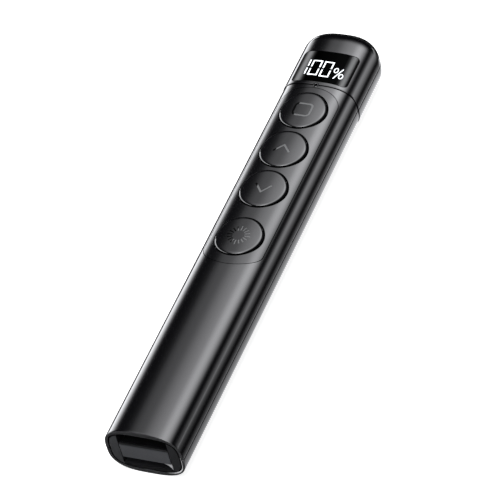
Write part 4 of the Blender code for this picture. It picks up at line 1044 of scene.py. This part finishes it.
# %% The head's solid and its hollow
REAR_EDGE = ((0.0, 0.12), (0.035, 0.035), (0.12, 0.0), (0.3, 0.0), (0.8, 0.0))  # ahead, inset
LENS_HOLE = 2.65
nose = nose_steps(LENGTH, 30, 0.02)
inner_nose = nose_steps(LENGTH - HEAD_WALLS[2], 10, 0.05)
head_places = [head_ring(HEAD_START + ahead_by, inset) for ahead_by, inset in REAR_EDGE]
head_places += [head_ring(y) for y in (130, 134, *nose)]
head_solid = through_rings("head_form", TURNS, head_places)
hollow_places = [head_cavity_ring(y) for y in (118.0, *inner_nose)]
combine(head_solid, through_rings("head_hollow", TURNS, hollow_places))


def front_ring(radius, y):
    return lambda turn: (radius * math.cos(turn), y, radius * math.sin(turn))


lens_hole_rings = [front_ring(LENS_HOLE, y) for y in (141.3, 148)]
combine(head_solid, through_rings("lens_hole", round_turns(64), lens_hole_rings))
print("head with", len(head_solid.data.polygons), "faces")

# %% [markdown]
# The display window is set flush into the head. Its opening and the window itself come from the
# same rounded rectangle, and the window keeps the head's own curve.

# %% The window's opening
WINDOW = (7.85, 123.8, 134.8, 1.1)  # half width, rear, front and corner radius
MODULE_OPENING = (6.95, 124.7, 133.9, 0.5)


def window_place(height, grow, box):
    half_width, rear, front, radius = box

    def place(turn):
        x, y = rounded_box(turn, half_width, (front - rear) / 2, radius, grow)
        return x, (front + rear) / 2 + y, height

    return place


def corner_turns(steps=8):
    turns = []
    for quarter in range(4):
        for i in range(steps + 1):
            share = 1e-4 + (1 - 2e-4) * i / steps
            turns.append((quarter + share) * math.pi / 2)
    return turns


def window_prism(name, low, grow=0.0, box=WINDOW):
    return through_rings(name, corner_turns(), [window_place(z, grow, box) for z in (low, ABOVE)])


def head_lowered(name, drop):
    return shift(through_rings(name, TURNS, [head_ring(121.0), head_ring(137.6)]), z=-drop)


opening = window_prism("window_opening", 2.0, 0.14)
combine(opening, head_lowered("opening_core", 1.2))
print("opening tool with", len(opening.data.polygons), "faces")

# %% Cut and dress the head's halves
head_upper = half_of(head_solid, "head_upper_shell", 1)
head_lower = half_of(head_solid, "head_lower_shell", -1)
combine(head_upper, opening)
combine(head_upper, window_prism("module_opening", 0.0, box=MODULE_OPENING))
combine(head_upper, disc_tool("head_guide_hole", GUIDE_RADIUS, SEAM_Y, 1.0, 48))
bpy.data.objects.remove(head_solid, do_unlink=True)
for half, node in ((head_upper, "head_upper_cover"), (head_lower, "head_lower_cover")):
    dress_shell(half, node, HEAD_START)
print("head halves", len(head_upper.data.polygons), len(head_lower.data.polygons))

# %% [markdown]
# ## Display window
#
# The window is smoked plastic over a black display. Its middle stays deep black, while at both
# sides the grey frame of the display shows through, softened at its edges by painted shade. One
# finish does both: its grey and the painted shade follow a ramp across x.

# %% The window
glass_smoke = finish(
    "window_smoke", (0.21, 0.212, 0.216), (0.215, 0.217, 0.221),
    grain=1500, rough=(0.1, 0.13), specular=0.004,
)
# the frame's grey across x, softened by painted shade
FRAME_GREY_AND_PAINTED_SHADE = [
    (-7.9, 0.0), (-7.35, 0.0), (-7.05, 0.24), (-6.75, 0.6), (-6.35, 0.94), (-6.0, 1.0),
    (-5.6, 0.84), (-5.2, 0.49), (-4.8, 0.15), (-4.4, 0.03), (-3.9, 0.001), (5.0, 0.003),
    (5.6, 0.09), (6.0, 0.49), (6.4, 0.9), (6.8, 0.98), (7.2, 0.55), (7.5, 0.04), (7.9, 0.0),
]
# lays the frame's grey and its painted shade on the window
shade_along(glass_smoke, "X", FRAME_GREY_AND_PAINTED_SHADE)
window_piece = window_prism("display_glass", 2.0)
combine(window_piece, head_lowered("glass_core", 1.0))
combine(window_piece, head_lowered("glass_top", 0.0), "INTERSECT")
smooth(window_piece)
round_edges(window_piece, 0.05, 50, 2, keep_shading=True)
dress(window_piece, glass_smoke, "window_black", "presenter", "display_window")
print("window with", len(window_piece.data.polygons), "faces")

# %% [markdown]
# ## Strokes
#
# The digits on the display and the marks on the buttons are drawn with strokes of even width. A
# path is laid as a curve, made a mesh, pulled up into a ribbon and given its width with Solidify,
# which keeps corners sharp.

# %% A stroke


def stroke(name, points, width, low, high, cyclic):
    curve = bpy.data.curves.new(name, "CURVE")
    curve.dimensions = "3D"
    line = curve.splines.new("POLY")
    line.points.add(len(points) - 1)
    for point, (x, y) in zip(line.points, points):
        point.co = (*at(x, y, low), 1.0)
    line.use_cyclic_u = cyclic
    piece = bpy.data.objects.new(name, curve)
    bpy.context.scene.collection.objects.link(piece)
    pick(piece)
    bpy.ops.object.convert(target="MESH")
    piece = bpy.context.object
    edit(piece)
    bpy.ops.mesh.extrude_region_move(TRANSFORM_OT_translate={"value": (0, 0, (high - low) * mm)})
    bpy.ops.object.mode_set(mode="OBJECT")
    wide = piece.modifiers.new("width", "SOLIDIFY")
    wide.thickness = width * mm
    wide.offset = 0.0
    wide.use_even_offset = True
    apply_all(piece)
    edit(piece)
    return done(piece)


print("stroke helper ready")

# %% [markdown]
# The strokes of the readout become one piece, which is cut into narrow strips and bent onto the
# window's curve. Its finish glows evenly, so the digits stay white whatever the window mirrors.

# %% Join strokes and bend them
STRIP = 0.5  # width of the strips that a flat piece is bent in


def join(name, pieces):
    pick(pieces[0])
    for piece in pieces:
        piece.select_set(True)
    bpy.ops.object.join()
    joined = bpy.context.object
    joined.name = joined.data.name = name
    return joined


def seat(piece, height_at, half_width):
    """Bends a flat piece onto a crown: each point rises by the height at its x."""
    edit(piece)
    for i in range(-half_width * 2, half_width * 2 + 1):
        bpy.ops.mesh.select_all(action="SELECT")
        bpy.ops.mesh.bisect(plane_co=(i * STRIP * mm, 0, 0), plane_no=(1, 0, 0))
    bpy.ops.object.mode_set(mode="OBJECT")
    for vert in piece.data.vertices:
        vert.co.z += height_at(vert.co.x / mm) * mm


print("bending helper ready")

# %% The readout's finish
digit_white = bpy.data.materials.new("digit_white")
digit_white.use_nodes = True
tree = digit_white.node_tree
whites = [(0.0, (0.93, 0.96, 1.0)), (1.0, (1.0, 1.0, 1.0))]
fill(
    tree, tree.nodes["Principled BSDF"],
    Base_Color=(0.85, 0.9, 0.95, 1.0), Roughness=0.5, Specular_IOR_Level=0.1,
    Emission_Color=colour_ramp(tree, speckle(tree, 2500.0, detail=2.0), whites), Emission_Strength=0.95,
)
print("finish", digit_white.name)

# %% The readout
UNDER, OVER = -0.03, 0.012  # from just under the window's surface to just over it
NOUGHT_STROKE = 0.38


def lit_stroke(name, points, width, cyclic=False):
    return stroke(name, points, width, UNDER, OVER, cyclic)


def nought(name, left, right_x, top, bottom):
    """One nought of a seven-part display: an arch above and a bowl below, with a gap between."""
    w = NOUGHT_STROKE / 2
    parts = []
    for part, sign, end in (("arch", 1, top - w), ("bowl", -1, bottom + w)):
        inner_end = (top + bottom) / 2 + sign * 0.3
        xs, ys = (left + w, right_x - w), (inner_end, end)
        path = [(xs[0], ys[0]), (xs[0], ys[1]), (xs[1], ys[1]), (xs[1], ys[0])]
        parts.append(lit_stroke(f"{name}_{part}", path, NOUGHT_STROKE))
    return parts


strokes = [lit_stroke("one_upper", [(-4.75, 131.5), (-4.75, 129.2)], 0.36)]
strokes += [lit_stroke("one_lower", [(-4.75, 128.5), (-4.75, 126.2)], 0.36)]
strokes += nought("first_nought", -3.9, -1.15, 131.4, 125.9)
strokes += nought("second_nought", -0.5, 2.2, 131.3, 125.7)
for name, (x, y) in {"left_ring": (3.54, 128.6), "right_ring": (5.34, 126.9)}.items():
    ring = [(x + 0.5 * math.cos(turn), y + 0.8 * math.sin(turn)) for turn in round_turns(20)]
    strokes.append(lit_stroke(name, ring, 0.27, cyclic=True))
strokes.append(lit_stroke("slash", [(3.6, 125.6), (5.25, 129.5)], 0.28))
readout = join("display_readout", strokes)
seat(readout, lambda x: crown(x, HEAD_STEP), 7)
dress(readout, digit_white, "window_black", "presenter")
print("readout with", len(readout.data.polygons), "faces")

# %% [markdown]
# ## Control panel
#
# The panel is a thin inlay, flush with the body. It is cut from the same solid form as the body, so
# its curve runs on without a break, and only a hairline shows round it.

# %% The panel
panel = panel_prism("panel_inlay", 2.0)
combine(panel, lowered("panel_core", 0.6))
combine(panel, copy_of(solid_form, "panel_top"), "INTERSECT")
for name, y in BUTTON_YS.items():
    combine(panel, disc_tool(f"panel_hole_{name}", HOLE_RADIUS, y, 3.0))
smooth(panel)
round_edges(panel, 0.05, 50, 2, keep_shading=True)
dress(panel, panel_gloss, "panel_black", "presenter", "control_panel")
paint(panel, gap_and_shade_black, lambda face: abs(face.normal.z) < 0.6)
print("panel with", len(panel.data.polygons), "faces")

# %% [markdown]
# ## Push buttons
#
# Each button is a shallow cap that stands half a millimetre proud and follows the body's crown. Its
# rim is rounded, and this rim draws the bright crescents that the photograph shows. One button is
# modelled and copied.

# %% One button, copied to its four places
PROUD = 0.5
RIM = 0.62
LIP, SKIRT, POST = 7.0, 5.15, 1.8  # radii of the lip, of the hollow and of the post in it
LIP_TOP, FOOT, ROOF = 4.9, 4.3, -0.8  # heights, the roof's from the body's surface


def button_ring(radius, height, y, follow=1.0):
    def place(turn):
        x = radius * math.cos(turn)
        return x, y + radius * math.sin(turn), height + follow * crown(x)

    return place


def button_rings(y):
    """The top, the rounded rim, the lip under the panel, and the hollow with its middle post."""
    rings = [button_ring(radius, PROUD, y) for radius in (0.05, 0.8, 1.6, 2.4, 3.2, 4.0, 4.8, 5.4)]
    for slope in (90, 78, 66, 54, 42, 30, 15, 0):
        drop, inwards = quarter_round(slope, RIM)
        rings.append(button_ring(BUTTON_RADIUS - inwards, PROUD - 0.75 * drop, y))
    lip = ((BUTTON_RADIUS, LIP_TOP), (LIP, LIP_TOP), (LIP, FOOT), (SKIRT, FOOT))
    rings += [button_ring(radius, height, y, 0.0) for radius, height in lip]
    rings += [button_ring(radius, ROOF, y) for radius in (SKIRT, POST)]
    return rings + [button_ring(radius, FOOT, y, 0.0) for radius in (POST, 0.05)]


first_button = through_rings("button_menu_cap", round_turns(96), button_rings(BUTTON_YS["menu"]))
caps = {"menu": first_button}
for name, y in BUTTON_YS.items():
    if name != "menu":
        caps[name] = shift(copy_of(first_button, f"button_{name}_cap"), y=y - BUTTON_YS["menu"])
print("buttons:", list(caps))

# %% [markdown]
# The marks are sunk a tenth of a millimetre into the caps: a rounded square, two chevrons and a
# sun. Their floor is grey, and black at the left as painted shade.

# %% A mark and its finish with painted shade


def mark_painted_shade_finish(name, turn_x):
    """Grey to the right of an x and black to the left of it, as painted shade."""
    made = finish(name, (0.205, 0.207, 0.213), (0.215, 0.217, 0.223), grain=2500, specular=0.02)
    shade_along(made, "X", [(-4.0, 0.002), (turn_x - 0.1, 0.004), (turn_x + 0.1, 0.85), (4.0, 1.0)])
    return made


# painted shade: the marks turn black to the left of a given x
mark_grey_painted_shade = mark_painted_shade_finish("mark_grey_painted_shade", -1.65)
sun_grey_painted_shade = mark_painted_shade_finish("sun_grey_painted_shade", -0.9)
TOP = HALF_HEIGHT + PROUD
MARK_DEPTH = 0.1


def mark(name, points, width, cyclic=False, look=mark_grey_painted_shade):
    piece = stroke(name, points, width, TOP - MARK_DEPTH, TOP + 0.4, cyclic)
    piece.data.materials.append(look)
    return piece


def rounded_square(y, half_x, half_y, radius):
    points = []
    for quarter, (sx, sy) in enumerate(((1, 1), (-1, 1), (-1, -1), (1, -1))):
        for i in range(6):
            turn = math.pi / 2 * (quarter + i / 5)
            x = sx * (half_x - radius) + radius * math.cos(turn)
            points.append((x, y + sy * (half_y - radius) + radius * math.sin(turn)))
    return points


print("marks are", MARK_DEPTH, "mm deep")

# %% Sink the marks
for cap in caps.values():
    cap.data.materials.append(panel_gloss)
square = rounded_square(BUTTON_YS["menu"], 2.32, 2.12, 1.0)
combine(caps["menu"], mark("square_mark", square, 0.58, cyclic=True))
combine(caps["up"], mark("up_mark", [(-2.25, 97.4), (0, 99.9), (2.15, 97.5)], 0.52))
combine(caps["down"], mark("down_mark", [(-2.25, 85.5), (0, 82.8), (2.15, 85.4)], 0.52))
for i, turn in enumerate(round_turns(16)):
    radii = (1.58, 3.2 if i % 4 == 0 else 3.0)
    ends = [(radius * math.cos(turn), BUTTON_YS["light"] + radius * math.sin(turn)) for radius in radii]
    combine(caps["light"], mark(f"ray_{i}", ends, 0.34, look=sun_grey_painted_shade))
print("light button with", len(caps["light"].data.polygons), "faces")

# %% [markdown]
# Light falls on only a part of each rim. The far left side and the foot of the right side are
# painted black as shade, and the bright crescent thins out to a point at its upper end.

# %% Painted shade on the rims


def unlit(y):
    """A test for the rim faces of the button at y that get painted shade, by their heading in degrees."""

    def test(face):
        out_x, out_y = face.center.x / mm, along(face) - y
        heading = math.degrees(math.atan2(out_y, out_x))
        far = (heading > 100 or heading < -171) and face.normal.z < 0.98
        near = -72 < heading < 30 and face.normal.z < 0.66
        tip = heading < -160 and 0.8 < face.normal.z < 0.98
        return math.hypot(out_x, out_y) > 5.7 and (far or near or tip)

    return test


# painted shade on part of each button's rim
for name, cap in caps.items():
    paint(cap, gap_and_shade_black, unlit(BUTTON_YS[name]))
    smooth(cap)
    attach(cap, f"{name}_key")
    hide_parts(f"button_{name}")
    print(name, [m.name for m in cap.data.materials], len(cap.data.polygons), "faces")

# %% [markdown]
# ## Status light, lens and port
#
# A small pin of smoked plastic stands on the seam of the head, and a dark bore in its top lets the
# light out. A profile of radii and heights is laid out as rings, the way a lathe would turn it.

# %% Status pin
smoke_clear = finish("smoke_clear", (0.02, 0.02, 0.022), grain=2500, rough=(0.12, 0.2))
pin_profile = [
    (0.03, 7.0), (0.46, 7.0), (0.48, 7.5), (0.53, 7.55), (0.63, 7.55), (0.7, 7.48), (0.7, 6.6),
    (0.63, 6.5), (0.63, 1.75), (0.03, 1.75),
]
pin = through_rings("status_pin", round_turns(48), [upright_ring(r, SEAM_Y, z) for r, z in pin_profile])
smooth(pin)
dress(pin, smoke_clear, "clear_plastic", "presenter", "status_light_guide")


def in_bore(face):
    out = math.hypot(face.center.x / mm, along(face) - SEAM_Y)
    return out < 0.49 and face.center.z > (REST_DROP + 6.9) * mm


paint(pin, gap_and_shade_black, in_bore)
print("pin with", len(pin.data.polygons), "faces")

# %% [markdown]
# A clear lens closes the hole in the front end. It is pulled along the body instead of upwards, and
# the rings of its low dome crowd at the edge, so that a few of them look round.

# %% Lens
lens_clear = finish("lens_clear", (0.5, 0.52, 0.55), grain=1200, rough=(0.03, 0.06))
lens_clear.node_tree.nodes["Principled BSDF"].inputs["Transmission Weight"].default_value = 0.7
lens_profile = [(0.03, 143.9), (2.3, 143.9), (2.5, 144.05), (2.5, 144.6), (2.42, 144.72)]
for slope in (65, 52, 40, 28, 16, 6):
    out = math.sin(math.radians(slope))
    lens_profile.append((2.5 * out, LENGTH - 0.27 * out**2))
lens_profile.append((0.03, LENGTH))
lens = through_rings("front_lens", round_turns(48), [front_ring(r, y) for r, y in lens_profile])
smooth(lens, 40)
dress(lens, lens_clear, "clear_plastic", "presenter", "pointer_lens")
print("lens with", len(lens.data.polygons), "faces")

# %% [markdown]
# In the left wall, a steel socket with round ends takes the charging plug. It could be extruded with
# an inset, but a bore cut out of a solid keeps the wall even all round, and the tongue that carries
# the contacts is joined to the back of the bore.

# %% Charging socket
steel_plated = finish(
    "steel_plated", (0.62, 0.62, 0.64), (0.55, 0.55, 0.57),
    grain=700, rough=(0.22, 0.32), metallic=1.0, stretch=(1, 8, 1),
)
TONGUE = (3.3, 0.35, 0.2)  # half length, half thickness and edge radius
socket_rings = [port_ring(x, 4.45, 1.6) for x in (-9.3, -2.0)]
socket = through_rings("charging_socket", PORT_TURNS, socket_rings)
bore_rings = [port_ring(x, 4.1, 1.25) for x in (-12, -3.0)]
combine(socket, through_rings("socket_bore", PORT_TURNS, bore_rings))
tongue_rings = [port_ring(-7.6, *TONGUE, -0.1), port_ring(-7.5, *TONGUE), port_ring(-2.8, *TONGUE)]
combine(socket, through_rings("socket_tongue", corner_turns(3), tongue_rings), "UNION")
round_edges(socket, 0.05, 50)
smooth(socket)
dress(socket, steel_plated, "steel", "presenter", "charging_port")
print("socket with", len(socket.data.polygons), "faces")

# %% [markdown]
# ## Tail insert and receiver
#
# Behind the rim of the tail sits an insert with two D-shaped blocks, and between them the flat end
# of the receiver, which a finger can grip from above and below. The insert starts as a full plug of
# the hollow, because its blocks keep the hollow's curve.

# %% The insert's outer form
INSERT_BACK = 8.7
insert_steps = ((0.1, -0.34), (0.13, -0.27), (0.24, -0.22), (INSERT_BACK, -0.22))
insert = through_rings("tail_insert", TURNS, [cavity_ring(y, grow) for y, grow in insert_steps])


def block(name, low, high):
    """A block between two corners."""
    deselect()
    bpy.ops.mesh.primitive_cube_add(size=1.0)
    made = bpy.context.object
    made.name = made.data.name = name
    lowest, highest = at(*low), at(*high)
    made.location = (lowest + highest) / 2
    made.scale = highest - lowest
    pick(made)
    bpy.ops.object.transform_apply(location=True, rotation=True, scale=True)
    return made


print("insert's outer form with", len(insert.data.polygons), "faces")

# %% [markdown]
# A box at the back holds the plug and the magnet. The wide bay is then cut between the blocks, and
# the narrow bore behind it. Only the flat fronts of the blocks are grey, a painted light, as they
# alone catch light; the right one is darker as painted shade, and their rounded edges are painted
# black as shade.

# %% Its socket, bay and finish
combine(insert, block("socket_box", (-7.4, INSERT_BACK - 0.35, -3.75), (7.4, 21.8, 3.55)), "UNION")
combine(insert, block("receiver_bay", (-6.75, -3, -4.75), (6.75, 7.2, 7.4)))
combine(insert, block("plug_bore", (-6.2, 0.0, -2.55), (6.2, 19.35, 2.35)))
combine(insert, block("magnet_pocket", (-4.15, 20.15, -1.75), (4.15, 24.0, 1.55)))
round_edges(insert, 0.1, 50)
edit(insert)
for side in (-1, 1):
    bpy.ops.mesh.select_all(action="SELECT")
    bpy.ops.mesh.bisect(plane_co=(side * 6.8 * mm, 0, 0), plane_no=(1, 0, 0))
done(insert)
smooth(insert)
dress(insert, recess_black, "shell_black", "presenter", "receiver_cradle")


def on_block_front(face):
    return along(face) < 0.6 and abs(face.center.x) > 6.7 * mm


# painted light on the blocks' flat fronts and painted shade on their rounded edges
paint(insert, block_painted_light_and_shade, lambda face: on_block_front(face) and face.normal.y < -0.95)
paint(insert, gap_and_shade_black, lambda face: on_block_front(face) and face.normal.y >= -0.95)
# painted shade: the right block is darker than the left
shade_along(block_painted_light_and_shade, "X", [(-9.6, 1.0), (-6.0, 1.0), (6.0, 0.42), (9.6, 0.42)])
print("insert with", len(insert.data.polygons), "faces")

# %% [markdown]
# A thin web closes the lower right corner between the receiver and the insert. Its pale finish is a
# painted highlight, which shows as a small pale patch.

# %% The painted highlight in the lower recess
WEB = [(4.6, -2.72), (6.72, -2.72), (6.7, -4.7), (6.3, -3.85), (5.7, -3.25)]


def web_ring(y):
    """Here a ring's turn is the number of a corner."""
    return lambda turn: (WEB[round(turn)][0], y, WEB[round(turn)][1])


web = through_rings("recess_corner", range(len(WEB)), [web_ring(0.08), web_ring(0.9)])
# a pale painted highlight, dimmer towards the left
corner_painted_highlight = finish("corner_painted_highlight", (0.6, 0.6, 0.62), (0.66, 0.66, 0.68), grain=2500, rough=(0.25, 0.35))
shade_along(corner_painted_highlight, "X", [(4.6, 0.2), (5.6, 0.7), (6.4, 1.0), (6.8, 0.8)])
round_edges(web, 0.05, 50)
smooth(web)
dress(web, corner_painted_highlight, "inner_plastic", "presenter")
print("corner with", len(web.data.polygons), "faces")

# %% [markdown]
# The receiver's head is a block with a groove above and below, where the finger grips it. Only its
# face is grey, which is painted light, and painted shade darkens it towards its upper edge, under the
# rim.

# %% The receiver's head
bar = block("receiver_bar", (-6.6, 0.0, -2.65), (6.6, 7.0, 2.45))
for height in (4.0, -4.2):
    low, high = sorted((height, height / 2.6))
    combine(bar, block("finger_groove", (-9, 0.75, low), (9, 6.6, high)))
round_edges(bar, 0.16, 40, 3)
smooth(bar)
dress(bar, recess_black, "shell_black", "receiver", "receiver_housing")
paint(bar, receiver_painted_light_and_shade, lambda face: along(face) < 0.72)
# painted shade: the face darkens towards its top, in the shade of the rim
shade_along(receiver_painted_light_and_shade, "Z", [(4.6, 1.0), (8.9, 1.0), (9.25, 0.75), (9.5, 0.2), (9.9, 0.08)])
print("receiver bar with", len(bar.data.polygons), "faces")

# %% [markdown]
# ## Pieces inside
#
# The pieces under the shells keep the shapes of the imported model. Each gets the finish of the real
# thing: green solder mask, grey silicone, plated steel, brass, sleeves and film.

# %% Finishes for the inner pieces
CONTACTS = [f"receiver_contact_{i}" for i in range(1, 5)]
INNER = [  # name, two colours, grain, roughness, further values and the nodes that get it
    ("solder_mask", (0.012, 0.085, 0.035), (0.018, 0.12, 0.05),
     600, (0.3, 0.42), {"bump": 0.01}, ["main_board"]),
    ("silicone_grey", (0.22, 0.225, 0.235), (0.27, 0.275, 0.285),
     1800, (0.62, 0.75), {"bump": 0.008}, ["keypad_mat"]),
    ("chip_resin", (0.008, 0.008, 0.009), (0.014, 0.014, 0.015),
     4000, (0.5, 0.65), {"bump": 0.006}, ["controller_chip", "display_module"]),
    ("brass_turned", (0.78, 0.57, 0.24), (0.84, 0.64, 0.3),
     900, (0.2, 0.3), {"metallic": 1.0, "stretch": (1, 10, 1)}, ["pointer_module", *CONTACTS]),
    ("cell_sleeve", (0.35, 0.37, 0.41), (0.4, 0.42, 0.46), 500, (0.28, 0.38), {}, ["battery_cell"]),
    ("amber_film", (0.5, 0.2, 0.03), (0.58, 0.26, 0.05), 800, (0.25, 0.35), {}, ["display_flex"]),
    ("red_sleeve", (0.4, 0.012, 0.012), (0.48, 0.02, 0.02),
     1500, (0.4, 0.5), {}, ["battery_lead_left"]),
    ("black_sleeve", (0.01, 0.01, 0.011), (0.016, 0.016, 0.017),
     1500, (0.4, 0.5), {}, ["battery_lead_right"]),
    ("emitter_resin", (0.7, 0.72, 0.7), (0.78, 0.79, 0.76),
     1500, (0.15, 0.25), {}, ["status_emitter"]),
    ("carrier_black", (0.02, 0.02, 0.022), (0.028, 0.028, 0.03),
     3000, (0.42, 0.55), {"bump": 0.004}, ["receiver_tongue"]),
    ("magnet_plated", (0.5, 0.5, 0.52), (0.58, 0.58, 0.6),
     1200, (0.18, 0.28), {"metallic": 1.0}, ["cradle_magnet"]),
]
dressed = {"receiver_plug_shell": steel_plated, "radio_shield": steel_plated}
dressed.update({f"switch_{key}": steel_plated for key in BUTTON_YS})
dressed.update({f"housing_screw_{i}": steel_plated for i in range(1, 5)})
for name, colour, second, grain, rough, more, users in INNER:
    made = finish(name, colour, second, grain=grain, rough=rough, **more)
    dressed.update(dict.fromkeys(users, made))
print(len(dressed), "inner nodes have a finish")

# %% Dress the inner pieces
for name, material in dressed.items():
    node = nodes[name]
    if not node.material_slots:
        node.data.materials.append(material)
    for slot in node.material_slots:
        slot.material = material
shown = [n for n, o in nodes.items() if not o.hide_render]
print("nodes shown:", sorted(shown))
print("shown but undressed:", sorted(set(shown) - set(dressed)))

# %% [markdown]
# ## Last steps
#
# The tools are removed and the view is set to plain colours.

# %% Finish
bpy.data.objects.remove(solid_form, do_unlink=True)
deselect()
bpy.context.scene.view_settings.view_transform = "Standard"
